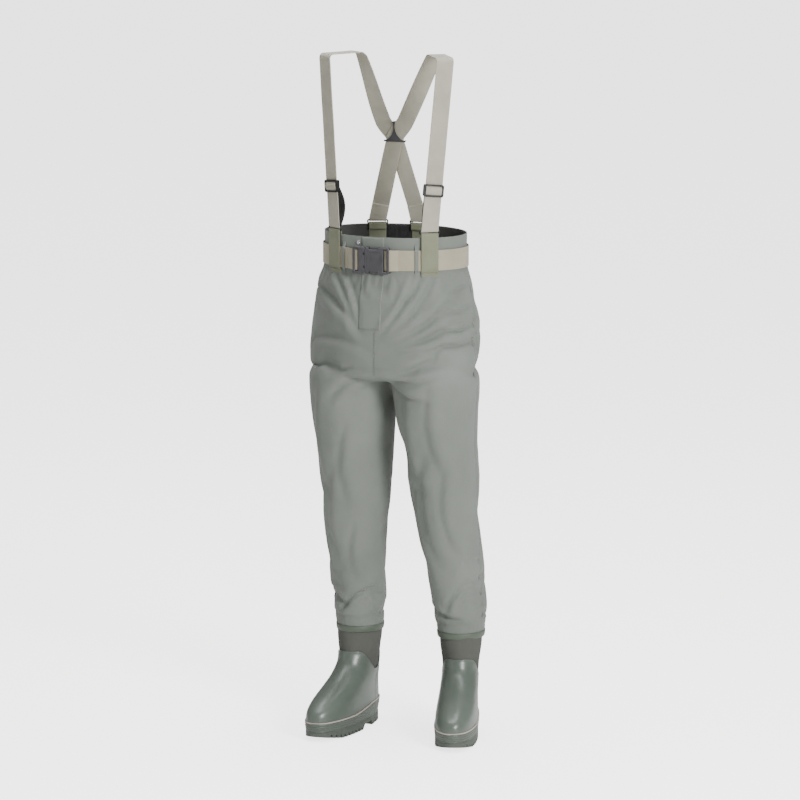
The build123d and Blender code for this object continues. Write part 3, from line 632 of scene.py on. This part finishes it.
thread, thread_shader = new_material("grey-green thread", 0.6, Sheen_Weight=0.2)
where = add_node(thread, "ShaderNodeTexCoord").outputs["Object"]
mottled(thread, thread_shader, where, 90.0, "#474b45", "#555953")
front_line = [on_shell((0, -400, z), (0, TRUNK_Y, z), -0.2) for z in range(918, 815, -8)]
seam("front_centre_seam", front_line, 5.0, (-1.6,))
back_line = [on_shell((0, 400, z), (0, TRUNK_Y, z), -0.2) for z in range(1046, 815, -8)]
seam("rear_centre_seam", back_line)
for side, side_name in SIDES:
    places = []
    for z, x, back, wide, deep in between(LEG, 12):
        if 236 < z < 800:
            places.append(on_shell((side * 400, TRUNK_Y + back, z), (side * x, TRUNK_Y + back, z), -0.2))
    top = [on_shell((side * 400, TRUNK_Y, z), (0, TRUNK_Y, z), -0.2) for z in range(1040, 806, -12)]
    seam(f"{side_name}_side_seam", top + places)


# ---------------------------------------------------------------- waistband, fly and stud
# The rim is turned in over a dark facing. A cased elastic gathers the middle of the back, and a
# flap of the shell fabric, sewn down its left edge, covers the fly. A press stud closes the rim.
lining, lining_shader = new_material("coated lining", 0.62, Specular_IOR_Level=0.35, Sheen_Weight=0.1)
where = add_node(lining, "ShaderNodeTexCoord").outputs["Object"]
mottled(lining, lining_shader, where, 18.0, "#2f302d", "#3c3e3a")
grain = add_node(lining, "ShaderNodeTexNoise", {"Scale": 240.0, "Detail": 4.0}, Vector=where)
bumped(lining, lining_shader, grain.outputs["Fac"], 0.5 * MM, 0.4)
rows = []
for step in range(19):
    z = 1086.0 + step * 38.6 / 18
    row = []
    for n in range(240):
        turn = 2 * math.pi * n / 240
        drape = 0.5 * noise.noise(Vector((math.cos(turn) * 7, math.sin(turn) * 7, z / 30)))
        gather = 0.0
        x = 157.0 * math.cos(turn)
        if math.sin(turn) > 0:
            gather = 0.9 * math.exp(-(((x + 30) / 50) ** 4)) * math.sin(x * 0.9 + 0.3 * math.sin(z / 9))
        inset = 2.2 + drape + abs(gather)
        row.append((
            (WAIST_X - inset) * math.cos(turn), TRUNK_Y + (WAIST_Y - inset) * math.sin(turn), z
        ))
    rows.append(row)
facing = grid_mesh("waist_facing_cloth", rows, closed=True)
thicken(facing, 0.6)
attach(facing, lining, "facing_fabric", "waders", "waist_facing")

elastic_cloth, elastic_shader = new_material(
    "black gathered elastic", 0.8, Sheen_Weight=0.3, Sheen_Roughness=0.4
)
where = add_node(elastic_cloth, "ShaderNodeTexCoord").outputs["Object"]
mottled(elastic_cloth, elastic_shader, where, 120.0, "#101010", "#1f1f1f")
gathers = {"bands_direction": "Z", "Scale": 130.0, "Distortion": 1.0}
rib = add_node(elastic_cloth, "ShaderNodeTexWave", gathers, Vector=where)
bumped(elastic_cloth, elastic_shader, rib.outputs["Fac"], 0.4 * MM, 0.6)
rows = []
for step in range(13):
    z = 1089.0 + step * 34.5 / 12
    row = []
    for n in range(181):
        x = -30 - 27 + 54 * n / 180
        pleat = math.sin(n * 0.62 + 0.6 * math.sin(z / 8 + n / 15)) * 0.75
        y = WAIST_Y * math.sqrt(1 - (x / WAIST_X) ** 2)
        out = Vector((x / WAIST_X**2, y / WAIST_Y**2, 0)).normalized()
        row.append(Vector((x, TRUNK_Y + y, z)) - out * (4.9 + pleat))
    rows.append(row)
elastic = grid_mesh("rear_elastic_gathers", rows)
thicken(elastic, 0.7)
attach(elastic, elastic_cloth, "elastic", "waders", "rear_elastic")

FLY_MIDDLE, FLY_WIDTH, FLY_BOTTOM = -12.0, 52.0, 925.0
rows = []
for step in range(51):
    z = FLY_BOTTOM + (1124.0 - FLY_BOTTOM) * step / 50
    row = []
    for n in range(19):
        x = FLY_MIDDLE + FLY_WIDTH * (n / 18 - 0.5)
        place, normal = on_shell((x, -400, z), (x, TRUNK_Y, z))
        if z > 1048:
            base = Vector((x, TRUNK_Y - WAIST_Y * math.sqrt(1 - (x / WAIST_X) ** 2), z))
            place = base + (place - base) * 0.4
        edge = min(n, 18 - n, step + 1) / 2
        row.append(place + normal * (0.9 + 0.25 * min(1, edge)))
    rows.append(row)
fly = grid_mesh("fly_flap_cloth", rows)
thicken(fly, 1.1)
attach(fly, fabric, "shell_fabric", "waders", "fly_flap")
for count, inset in enumerate((2.5, 6.0)):
    x = FLY_MIDDLE + FLY_WIDTH / 2 - inset
    line = []
    for z in range(int(FLY_BOTTOM) + 4, 1047, 6):
        place, normal = on_shell((x, -400, z), (x, TRUNK_Y, z))
        line.append((place + normal * 1.25, normal))
    attach(stitches(f"fly_stitches_{count + 1}", line), thread, "shell_fabric", "waders")
line = []
for n in range(14):
    x = FLY_MIDDLE + (FLY_WIDTH - 6) * (n / 13 - 0.5)
    place, normal = on_shell((x, -400, FLY_BOTTOM + 3), (x, TRUNK_Y, FLY_BOTTOM + 3))
    line.append((place + normal * 1.25, normal))
attach(stitches("fly_stitches_3", line), thread, "shell_fabric", "waders")


# ---------------------------------------------------------------- belt and belt loops
# The belt is a band of flat webbing. Each end goes round a bar of the buckle and back over
# itself. Narrow loops of shell fabric beside the tabs, and one at the back, keep it up.
belt_cloth = webbing_cloth("belt webbing", "#97907c", "#a29b87")
strap_cloth = webbing_cloth("elastic strap webbing", "#a09c8e", "#aba798")
# the slack return plies are the strap's own webbing, darkened as painted shade for the shadow they hang in
painted_shade_strap_cloth = webbing_cloth("strap webbing, painted shade", "#2c2c29", "#393936")
tab_cloth = webbing_cloth("green tab webbing", "#70735e", "#7a7d69")
BELT_Z, BELT_WIDTH, BELT_X, BELT_Y = 1075.5, 45.0, 162.3, 114.3
BUCKLE_X, BAR_X, BAR_Y, BAR_TURN = -12.0, 32.5, -133.9, 3.1
PLY_END, PLY_OUT = 58.5, 2.7  # where a folded end stops, from the buckle's middle and from the shell
BELT_ENTRY = 62  # where the belt leaves the waist for the buckle, from its middle
LEAD_X = -90.0  # where the lead begins, beside the right belt loop
UP = Vector((0, 0, 1))


def on_belt(turn, out=0.8):
    """A place on the belt, its run and its outer side; turn 0 is the wearer's left, -90 degrees the front."""
    wide, deep = BELT_X + out, BELT_Y + out
    place = Vector((wide * math.cos(turn), TRUNK_Y + deep * math.sin(turn), BELT_Z))
    along = Vector((-wide * math.sin(turn), deep * math.cos(turn), 0)).normalized()
    return place, along, along.cross(UP)


def belt_turn(x, out=0.8):
    """The turn at which the front of the belt has this x."""
    return -math.acos(max(-1, min(1, x / (BELT_X + out))))


def round_bar(direction):
    """The belt's end round one bar of the buckle and back over itself; the buckle's right or left end."""
    bar = Vector((BUCKLE_X + direction * BAR_X, BAR_Y, BELT_Z))
    away, front = Vector((direction, 0, 0)), Vector((0, -1, 0))
    end, along, outer = on_belt(belt_turn(BUCKLE_X + direction * PLY_END, PLY_OUT), PLY_OUT)
    return [
        (bar + away * 6 - front * BAR_TURN, -away, front),
        (bar - front * BAR_TURN, -away, front),
        (bar - away * BAR_TURN, front, away),
        (bar + front * BAR_TURN, away, -front),
        (bar + away * 6 + front * BAR_TURN, away, -front),
        (end, along * direction, -outer),
    ]


# the belt lies outside in, so its own outer side turns inwards once it has gone round the bar
first = belt_turn(LEAD_X)
whole = 2 * math.pi + first - belt_turn(BUCKLE_X + BELT_ENTRY)
run = []
for n in range(61):
    place, along, outer = on_belt(first - n * whole / 60)
    run.append((place, -along, outer))
belt = ribbon("belt_webbing_band", run + round_bar(LEFT), BELT_WIDTH, ripple=0.25)
attach(belt, belt_cloth, "belt_webbing", "waders", "belt_band")
run = []
for n in range(9):
    x = LEAD_X + (BUCKLE_X - BELT_ENTRY - LEAD_X) * n / 8
    run.append(on_belt(belt_turn(x)))
lead = ribbon("belt_webbing_lead", run + round_bar(RIGHT), BELT_WIDTH, ripple=0.25)
attach(lead, belt_cloth, "belt_webbing", None, "belt_lead")
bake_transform(lead)


def on_waist(x, front, out, z):
    """A place on the waist at one x, the run of the rim there and its outer side."""
    y = WAIST_Y * math.sqrt(1 - (x / WAIST_X) ** 2) * (-1 if front else 1)
    outer = Vector((x / WAIST_X**2, y / WAIST_Y**2, 0)).normalized()
    return Vector((x, TRUNK_Y + y, z)) + outer * out, UP.cross(outer), outer


REAR_LAYERS = 4.75  # shell, facing and half the webbing between the rim and a rear ring, with their room
OVER_BELT = 5.0  # middle of what crosses over the belt, from the shell
LOOPS = (("right_belt_loop", -82.5, True), ("left_belt_loop", 82.5, True), ("rear_belt_loop", 0.0, False))
LOOP_RUN = (  # height and distance from the shell, from the lower sewn end to the upper
    (1041, 0.7), (1050, 1.6), (1054, OVER_BELT), (1075, OVER_BELT + 0.3),
    (1098, OVER_BELT), (1101, 1.8), (1110, 0.7),
)
for name, x, front in LOOPS:
    stations = []
    for z, out in LOOP_RUN:
        place, _, outer = on_waist(x, front, out, z)
        stations.append((place, UP.copy(), outer))
    loop = ribbon(name + "_cloth", stations, 8.0, thickness=1.4, spacing=3)
    attach(loop, fabric, "shell_fabric", "waders", name)


# ---------------------------------------------------------------- tabs, rings and crossed straps
# Four tabs of green webbing are sewn to the waist and hold wire rings. A strap of elastic webbing
# runs from each front ring over the shoulder, through the crosser, to the far rear ring.
STRAP, TAB_X, LOOP_TURN, RING_HALF = 38.0, 107.5, 2.65, 4.0
FRONT_RING_Z, REAR_RING_Z, SHOULDER_Z = 1137.0, 1130.0, 1513.0
SHOULDER_X, SHOULDER_RUN = 139.0, 96.0
ADJUSTER_Z = 1228.0
HARNESS_X, RING_SPREAD, CROSS_Y, CROSS_Z, CROSSER_TALL, FOLD = -30.0, 48.0, 60.0, 1330.0, 40.0, 9.0


def front_run(side):
    """Where a strap leaves its front ring, its direction and its outer side."""
    place, across, outer = on_waist(side * TAB_X, True, OVER_BELT, FRONT_RING_Z)
    start = place + UP * RING_HALF
    sideways = across * ((side * SHOULDER_X - start.x) / across.x)
    return start, (sideways + UP * (SHOULDER_Z - start.z)).normalized(), outer


def rear_ring(side):
    """The middle of a rear ring, just inside the rim, the run of the rim there and its outer side."""
    return on_waist(HARNESS_X + side * RING_SPREAD, False, -(REAR_LAYERS + LOOP_TURN), REAR_RING_Z)


lean = math.radians(8)
facing_out = Vector((0, -math.cos(lean), -math.sin(lean)))
plate_up = Vector((0, -math.sin(lean), math.cos(lean)))


def in_crosser(x, y, out):
    """A place inside the crosser: x across, y up its plate and out towards the wearer."""
    return Vector((HARNESS_X, CROSS_Y, CROSS_Z)) + Vector((x, 0, 0)) + plate_up * y + facing_out * out


for side, side_name in SIDES:
    # front tab: sewn down below the belt, over it, and round the ring's lower bar
    stations = []
    run = ((1042, 1.4), (1049, 2.4), (1055, OVER_BELT), (1075, OVER_BELT + 0.5), (1100, OVER_BELT + 0.2))
    for z, out in run:
        place, across, outer = on_waist(side * TAB_X, True, out, z)
        stations.append((place, UP.copy(), outer))
    bar = on_waist(side * TAB_X, True, OVER_BELT - LOOP_TURN, FRONT_RING_Z - RING_HALF)[0]
    stations += [
        (bar + outer * LOOP_TURN, UP.copy(), outer),
        (bar + UP * LOOP_TURN, -outer, UP.copy()),
        (bar - outer * LOOP_TURN, -UP, -outer),
        (bar - outer * LOOP_TURN - UP * 9, -UP, -outer),
    ]
    tab = ribbon(f"{side_name}_front_tab_webbing", stations, STRAP, spacing=4)
    attach(tab, tab_cloth, "tab_webbing", "waders", f"{side_name}_front_tab")
    hem = []
    for z, out in ((1038.5, 1.2), (1043, 2.4), (1049, 3.6)):
        place, across, outer = on_waist(side * TAB_X + 1.5, True, out, z)
        hem.append((place, UP.copy(), outer))
    hem = ribbon(f"{side_name}_front_tab_hem", hem, STRAP + 1, thickness=1.2, spacing=3)
    attach(hem, tab_cloth, "tab_webbing", "waders")
    for count, z in enumerate((1046, 1120)):
        line = []
        for n in range(15):
            place, across, outer = on_waist(side * TAB_X, True, OVER_BELT + 0.85 if z > 1060 else 3.2, z)
            line.append((place + across * (n / 14 - 0.5) * (STRAP - 5), outer))
        sewn = stitches(f"{side_name}_front_tab_stitches_{count + 1}", line, 2.4, 1.7)
        attach(sewn, thread, "tab_webbing", "waders")

    # rear tab, sewn inside the rim
    ring_middle, across, outer = rear_ring(side)
    bar = ring_middle - UP * RING_HALF
    face = outer * LOOP_TURN
    foot = Vector((ring_middle.x, ring_middle.y, 1087)) + face
    stations = [
        (foot, UP.copy(), outer),
        (bar + face, UP.copy(), outer),
        (bar + UP * LOOP_TURN, -outer, UP.copy()),
        (bar - face, -UP, -outer),
        (bar - face - UP * 14, -UP, -outer),
    ]
    tab = ribbon(f"{side_name}_rear_tab_webbing", stations, STRAP, spacing=4)
    attach(tab, tab_cloth, "tab_webbing", "waders", f"{side_name}_rear_tab")

    # the strap itself, from round the front ring's upper bar to round the far rear ring's
    start, along, outer = front_run(side)
    back = -outer
    bar = start - outer * LOOP_TURN
    top = start + along * ((SHOULDER_Z - FOLD - start.z) / along.z)
    bend = top + back * FOLD
    stations = [
        (bar + back * LOOP_TURN, -UP, back),
        (bar - UP * LOOP_TURN, outer.copy(), -UP),
        (start, along, outer),
        (start.lerp(top, 0.25), along, outer),
        (start.lerp(top, 0.6), along, outer),
        (top, along, outer),
        (bend + (outer + UP) * FOLD * 0.7071, (UP + back).normalized(), (outer + UP).normalized()),
        (bend + UP * FOLD, back, UP),
    ]
    rear_fold = bend + UP * FOLD + back * (SHOULDER_RUN - 2 * FOLD)
    stations.append((rear_fold, back, UP))
    layer = side * 0.95
    enter = in_crosser(side * 25.4, CROSSER_TALL / 2 + 3, layer)
    leave = in_crosser(0, -CROSSER_TALL / 2 + 8, layer)
    far_middle, _, far_outer = rear_ring(-side)
    aim = far_middle - Vector((HARNESS_X, CROSS_Y, CROSS_Z))
    aim_x, aim_y = aim.x, aim.dot(plate_up)
    leave_y = -CROSSER_TALL / 2 + 8
    share = (leave_y + CROSSER_TALL / 2 + 2) / (leave_y - aim_y)
    past = in_crosser(aim_x * share, -CROSSER_TALL / 2 - 2, layer)
    end = far_middle + UP * RING_HALF + far_outer * (LOOP_TURN + 0.5)
    down = (enter - rear_fold).normalized()
    slants, drops = (leave - enter).normalized(), (past - leave).normalized()
    falls = (end - past).normalized()
    behind = (back + UP).normalized()
    stations += [
        (rear_fold + back * (0.7 * FOLD) - UP * (0.35 * FOLD), (back + down).normalized(), behind),
        (rear_fold + back * FOLD + down * FOLD, down, behind),
        (enter - down * 14, down, -facing_out),
        (enter, (slants + down).normalized(), -facing_out),
        (leave, (slants + drops).normalized(), -facing_out),
        (past, (drops + falls).normalized(), -facing_out),
        (past + falls * 12, falls, -facing_out),
        (end, falls, far_outer),
    ]
    strap = ribbon(f"{side_name}_strap_webbing", stations, STRAP, ripple=0.5)
    attach(strap, strap_cloth, "strap_webbing", "waders", f"{side_name}_strap")
    rear_bar = far_middle + UP * RING_HALF
    inner = -far_outer
    ply_top = end - falls * 36 + inner * 2.1
    ply = [
        (end, falls, far_outer),
        (rear_bar - UP * LOOP_TURN, inner, -UP),
        (rear_bar + inner * LOOP_TURN, -falls, inner),
        (rear_bar + inner * (LOOP_TURN - 0.5) - falls * 7, -falls, inner),
        (ply_top, -falls, inner),
    ]
    ply = ribbon(f"{side_name}_strap_end_webbing", ply, STRAP, spacing=4)
    attach(ply, strap_cloth, "strap_webbing", "waders", f"{side_name}_strap_end")
    across = falls.cross(inner).normalized()
    row = ply_top + falls * 4 + inner * 0.85
    line = [(row + across * (n / 14 - 0.5) * (STRAP - 4), inner) for n in range(15)]
    sewn = stitches(f"{side_name}_strap_end_stitches", line, 2.4, 1.7)
    attach(sewn, thread, "strap_webbing", "waders")

    # the slack ply from the ring up to the adjuster's bar, and the strap where it rides over that bar
    middle = start + along * ((ADJUSTER_Z - start.z) / along.z)
    slack, depth = {RIGHT: 14.0, LEFT: 7.0}[side], 5.2
    low, high = start + back * (2 * LOOP_TURN), middle + back * depth
    stations = []
    for n in range(7):
        bow = slack * math.sin(math.pi * n / 6)
        stations.append([low.lerp(high, n / 6) + back * bow, along, outer])
    for n in range(7):
        after, before = stations[min(n + 1, 6)][0], stations[max(n - 1, 0)][0]
        stations[n][1] = (after - before).normalized()
    # the return ply takes the darkened copy of the strap webbing: painted shade
    ply = ribbon(f"{side_name}_return_ply_webbing", stations, STRAP - 2, spacing=4)
    attach(ply, painted_shade_strap_cloth, "strap_webbing", None, f"{side_name}_return_ply")
    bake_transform(ply)
    crown = []
    for step, out in ((-9.5, 1.3), (-6, 3.4), (-2, 4.9), (2, 4.9), (6, 3.4), (9.5, 1.3)):
        crown.append([middle + along * step + outer * out, along, outer])
    for n in range(6):
        after, before = crown[min(n + 1, 5)][0], crown[max(n - 1, 0)][0]
        crown[n][1] = (after - before).normalized()
    crown = ribbon(f"{side_name}_strap_over_bar", crown, 35.0, thickness=1.4, spacing=2)
    attach(crown, strap_cloth, "strap_webbing", f"{side_name}_adjuster")


# ---------------------------------------------------------------- buckle, rings, adjusters and crosser
# The buckle and the crosser are moulded acetal, with a fine matt texture. The rings and the
# adjusters are coated black. These keep the shape they were designed with.
PLASTIC_NODES = ("buckle_socket", "buckle_plug", "upper_prong", "lower_prong", "strap_crosser")


def dress(finish, *nodes):
    """Give CAD nodes a material."""
    for name in nodes:
        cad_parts[name].data.materials.clear()
        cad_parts[name].data.materials.append(finish)


dress(plastic("moulded acetal", "#3a393c", "#444347", 0.4), *PLASTIC_NODES)
coated = plastic("black coating", "#151515", "#1f1f1f", 0.36)
dress(coated, *(f"{name}_{kind}" for _, name in SIDES for kind in ("front_ring", "rear_ring", "adjuster")))
plated, plated_shader = new_material("nickel plate", 0.22, Metallic=1.0)
where = add_node(plated, "ShaderNodeTexCoord").outputs["Object"]
mottled(plated, plated_shader, where, 400.0, "#c3c4c6", "#dcdde0")
dress(plated, "press_stud")


# ---------------------------------------------------------------- boots
# Each boot is a moulded rubber galosh bonded over a neoprene sock. A ribbed rand with a pale line
# goes round the foot, cleats are moulded under it, and a tape covers the seam to the leg.
BOOT = (  # height, toe and heel from the ankle's axis, half width at the ball and at the heel, in millimetres
    (20, 226, 60, 49, 37),
    (46, 229, 66, 51, 39.5),
    (64, 222, 66, 50, 39.5),
    (81, 198, 64, 48, 39),
    (98, 160, 62, 45, 39),
    (115, 120, 60, 43, 39.5),
    (133, 90, 58, 41, 40),
    (153, 72, 57, 40.5, 41),
    (180, 64, 57, 43.5, 44),
    (205, 60, 57, 47, 47),
    (235, 58, 57, 49, 49),
)
BOOT_LEVELS = between(BOOT, 3)
TOE_OUT = {RIGHT: 7.0, LEFT: 14.0}
ANKLE_X, ANKLE_Y = 119, 81


def boot_place(side, turn, z, grow):
    """A place on one boot's form and its own distance behind the ankle; turn 0 is the toe."""
    n = 0
    while n < len(BOOT_LEVELS) - 2 and BOOT_LEVELS[n + 1][0] < z:
        n += 1
    low, high = BOOT_LEVELS[n], BOOT_LEVELS[n + 1]
    t = max(0.0, min(1.0, (z - low[0]) / (high[0] - low[0])))
    toe, heel, ball, back = ((a + (b - a) * t) + grow for a, b in zip(low[1:], high[1:]))
    share = (1 - math.cos(turn)) / 2
    fullness = 0.78 + 0.22 * min(1, 100 / toe)
    x = (ball * (1 - share) + back * share) * math.copysign(abs(math.sin(turn)) ** fullness, math.sin(turn))
    y = -toe + (toe + heel) * share
    out = math.radians(TOE_OUT[side]) * side
    across, back = math.cos(out), math.sin(out)
    return Vector((side * ANKLE_X + x * across - y * back, ANKLE_Y + x * back + y * across, z)), y


def boot_skin(name, side, low, high, grow, columns, count):
    """An open skin of the boot's form between two edges, each a height for a distance behind the ankle."""
    rows = [[] for _ in range(count + 1)]
    for n in range(columns):
        turn = 2 * math.pi * n / columns
        edges = []
        for edge in (low, high):
            z = 100.0
            for _ in range(8):
                z = 0.5 * z + 0.5 * edge(boot_place(side, turn, z, 0)[1])
            edges.append(z)
        for row in range(count + 1):
            z = edges[0] + (edges[1] - edges[0]) * row / count
            y = boot_place(side, turn, z, 0)[1]
            rows[row].append(boot_place(side, turn, z, grow(y, z, turn))[0])
    return grid_mesh(name, rows, closed=True)


def along_line(y, points):
    """The height of a line through points at one distance behind the ankle."""
    if y <= points[0][0]:
        return points[0][1]
    for (y0, z0), (y1, z1) in zip(points, points[1:]):
        if y <= y1:
            return z0 + (z1 - z0) * (y - y0) / (y1 - y0)
    return points[-1][1]


def top_edge(y):
    """The galosh's top edge: a tongue in front, a dip at the side and a peak at the heel."""
    line = ((-48, 172), (-12, 126), (16, 126), (64, 186))
    return sum(along_line(y + k, line) for k in (-9, -6, -3, 0, 3, 6, 9)) / 7


def rand_edge(y):
    """The top of the rand, which rises from toe to heel."""
    return along_line(y, ((-110, 40), (-20, 50)))


def from_line(y, z, points):
    """Distance from a place at the side of the boot to a line."""
    nearest = 1e9
    for (y0, z0), (y1, z1) in zip(points, points[1:]):
        length = math.hypot(y1 - y0, z1 - z0)
        t = max(0.0, min(1.0, ((y - y0) * (y1 - y0) + (z - z0) * (z1 - z0)) / length**2))
        nearest = min(nearest, math.hypot(y - y0 - t * (y1 - y0), z - z0 - t * (z1 - z0)))
    return nearest


TAPE = (  # height, half width and half depth of the tape, from its top edge down
    (229, 52.2, 60.0), (227.5, 52.9, 60.8), (221, 52.4, 60.3), (215.5, 51.4, 59.3), (214, 50.2, 58.2)
)
RIBS = (((8, 52), (7, 108), (58, 176)), ((21, 52), (20, 102), (60, 158)))


def galosh_relief(y, z, turn):
    """Ribs up the side, creases over the instep and a bead along the top edge."""
    lift = sum(1.0 * math.exp(-((from_line(y, z, line) / 2.0) ** 2)) for line in RIBS)
    lift += 0.5 * math.exp(-(((top_edge(y) - z) / 2.0) ** 2))
    over = math.exp(-(((y + 52) / 26) ** 2)) * max(0.0, math.cos(turn)) ** 2
    return lift + over * 0.9 * math.sin((z - 92) / 4.6 + 0.8 * math.sin(turn * 3))


def sock_depth(y, z, turn):
    """The neoprene lies inside the rubber and comes out flush with it above the edge."""
    rise = max(0.0, min(1.0, (z - top_edge(y)) / 22))
    return -2.3 + 1.9 * rise + 0.35 * math.sin(z / 9 + 2 * math.sin(turn * 2))


def rand_relief(y, z, turn):
    """Fine ribs round the rand, and a fuller bumper at the toe."""
    toe = max(0.0, min(1.0, (-y - 120) / 60))
    bumper = 0.5 * toe * math.exp(-(((z - 31) / 6) ** 2))
    return 2.3 + 0.35 * math.sin((z - 20) * 2 * math.pi / 5.2) + bumper


rubber = rubber_skin("satin boot rubber", "#4d564e", "#586159", 0.33, coat=0.2)
ribbed = rubber_skin("rand rubber", "#485048", "#535b52", 0.42)
cleated = rubber_skin("sole rubber", "#434a43", "#4e554c", 0.55)
knit = rubber_skin("neoprene knit", "#494a45", "#52534e", 0.88, grain_size=1.2)
tape = rubber_skin("seam tape", "#4a5347", "#525b4f", 0.5)
bead = rubber_skin("pale line", "#a59a92", "#b6aba3", 0.45)
footbed = rubber_skin("footbed cloth", "#2c2d2a", "#3a3b37", 0.9)
for side, side_name in SIDES:
    galosh = boot_skin(f"{side_name}_boot_galosh", side, lambda y: 20, top_edge, galosh_relief, 288, 96)
    thicken(galosh, 2.0)
    attach(galosh, rubber, "boot_rubber", "waders", f"{side_name}_boot_upper")
    sock = boot_skin(f"{side_name}_boot_neoprene", side, lambda y: 24, lambda y: 222, sock_depth, 128, 60)
    thicken(sock, 3.2)
    attach(sock, knit, "neoprene", "waders", f"{side_name}_neoprene_bootie")
    rand = boot_skin(f"{side_name}_boot_rand_ribbed", side, lambda y: 20, rand_edge, rand_relief, 288, 34)
    thicken(rand, 2.2)
    attach(rand, ribbed, "boot_rubber", "waders", f"{side_name}_rand")
    dress(cleated, f"{side_name}_outsole")
    dress(bead, f"{side_name}_pinstripe")
    inlay = []
    for ring in range(9):
        share = ring / 8
        crown, inset = Vector((0, 0, 1.2 * share**3)), 6.8 + (1 - share) * 36
        inlay.append([boot_place(side, 2 * math.pi * n / 64, 28, -inset)[0] + crown for n in range(64)])
    inlay = grid_mesh(f"{side_name}_footbed", inlay, closed=True)
    inlay.data.flip_normals()
    thicken(inlay, 3.2)
    attach(inlay, footbed, "footbed_foam", "waders", f"{side_name}_insole")

    # the tape is smooth and lies half on the leg's hem and half on the neoprene
    rows = []
    turns = [2 * math.pi * n / 128 for n in range(128)]
    for z, wide, deep in TAPE:
        rows.append([(side * ANKLE_X + wide * math.cos(t), ANKLE_Y + deep * math.sin(t), z) for t in turns])
    seal = grid_mesh(f"{side_name}_seam_tape", list(reversed(rows)), closed=True)
    thicken(seal, 1.0)
    attach(seal, tape, "seam_tape", "waders", f"{side_name}_seam_band")


# ---------------------------------------------------------------- floor, light and camera
# A wide white floor that fills the view, a soft light from the front on the wearer's left, a
# weak fill from the other side and a large one overhead, as a small product studio has.
bpy.ops.object.select_all(action="DESELECT")
bpy.ops.mesh.primitive_plane_add(size=1, location=(0, 0, 0))
floor = bpy.context.object
floor.name = "studio_floor"
bpy.ops.object.mode_set(mode="EDIT")
bpy.ops.mesh.select_all(action="SELECT")
bpy.ops.transform.resize(value=(90, 90, 1))
bpy.ops.transform.translate(value=(0, 0, -0.0005))
bpy.ops.object.mode_set(mode="OBJECT")
paper, paper_shader = new_material("seamless paper", 0.9, Specular_IOR_Level=0.1)
paper_shader.inputs["Base Color"].default_value = colour("#f4f4f2")
# the paper is lit to pure white for the camera, as in a cut-out, and still takes a faint shadow
camera_sees = add_node(paper, "ShaderNodeLightPath").outputs["Is Camera Ray"]
glow = add_node(paper, "ShaderNodeMath", {"operation": "MULTIPLY"})
paper.node_tree.links.new(camera_sees, glow.inputs[0])
glow.inputs[1].default_value = 2.6
paper_shader.inputs["Emission Color"].default_value = colour("#ffffff")
paper.node_tree.links.new(glow.outputs[0], paper_shader.inputs["Emission Strength"])
floor.data.materials.append(paper)

world = bpy.data.worlds.new("studio")
bpy.context.scene.world = world
world.use_nodes = True
world.node_tree.nodes["Background"].inputs["Color"].default_value = colour("#fbfbfb")
world.node_tree.nodes["Background"].inputs["Strength"].default_value = 0.27


def softbox(name, place, aim, size, power):
    """A square studio light that faces a point."""
    lamp = bpy.data.lights.new(name, "AREA")
    lamp.shape = "SQUARE"
    lamp.size = size
    lamp.energy = power
    holder = bpy.data.objects.new(name, lamp)
    bpy.context.scene.collection.objects.link(holder)
    holder.location = place
    holder.rotation_euler = (Vector(aim) - Vector(place)).to_track_quat("-Z", "Y").to_euler()
    return holder


middle = (0, 0, (cad_box[0][2] + cad_box[1][2]) / 2)
softbox("key", (3.6, -2.8, 2.4), middle, 1.3, 270)
softbox("fill", (-3.6, -2.6, 1.6), middle, 2.4, 12)
softbox("top", (0, 0.2, 4.8), (0, 0, 0), 3.4, 250)

CAMERA_AZIMUTH = math.radians(20)
CAMERA_DISTANCE = 12.0
CAMERA_HEIGHT = 2.8
lens = bpy.data.cameras.new("camera")
lens.sensor_width = 36
lens.shift_x = 0.0024
lens.lens = 249.9
camera = bpy.data.objects.new("camera", lens)
bpy.context.scene.collection.objects.link(camera)
camera.location = (
    CAMERA_DISTANCE * math.sin(CAMERA_AZIMUTH), -CAMERA_DISTANCE * math.cos(CAMERA_AZIMUTH), CAMERA_HEIGHT
)
aim = Vector((0, 0, 0.748))
camera.rotation_euler = (aim - camera.location).to_track_quat("-Z", "Y").to_euler()
bpy.context.scene.camera = camera
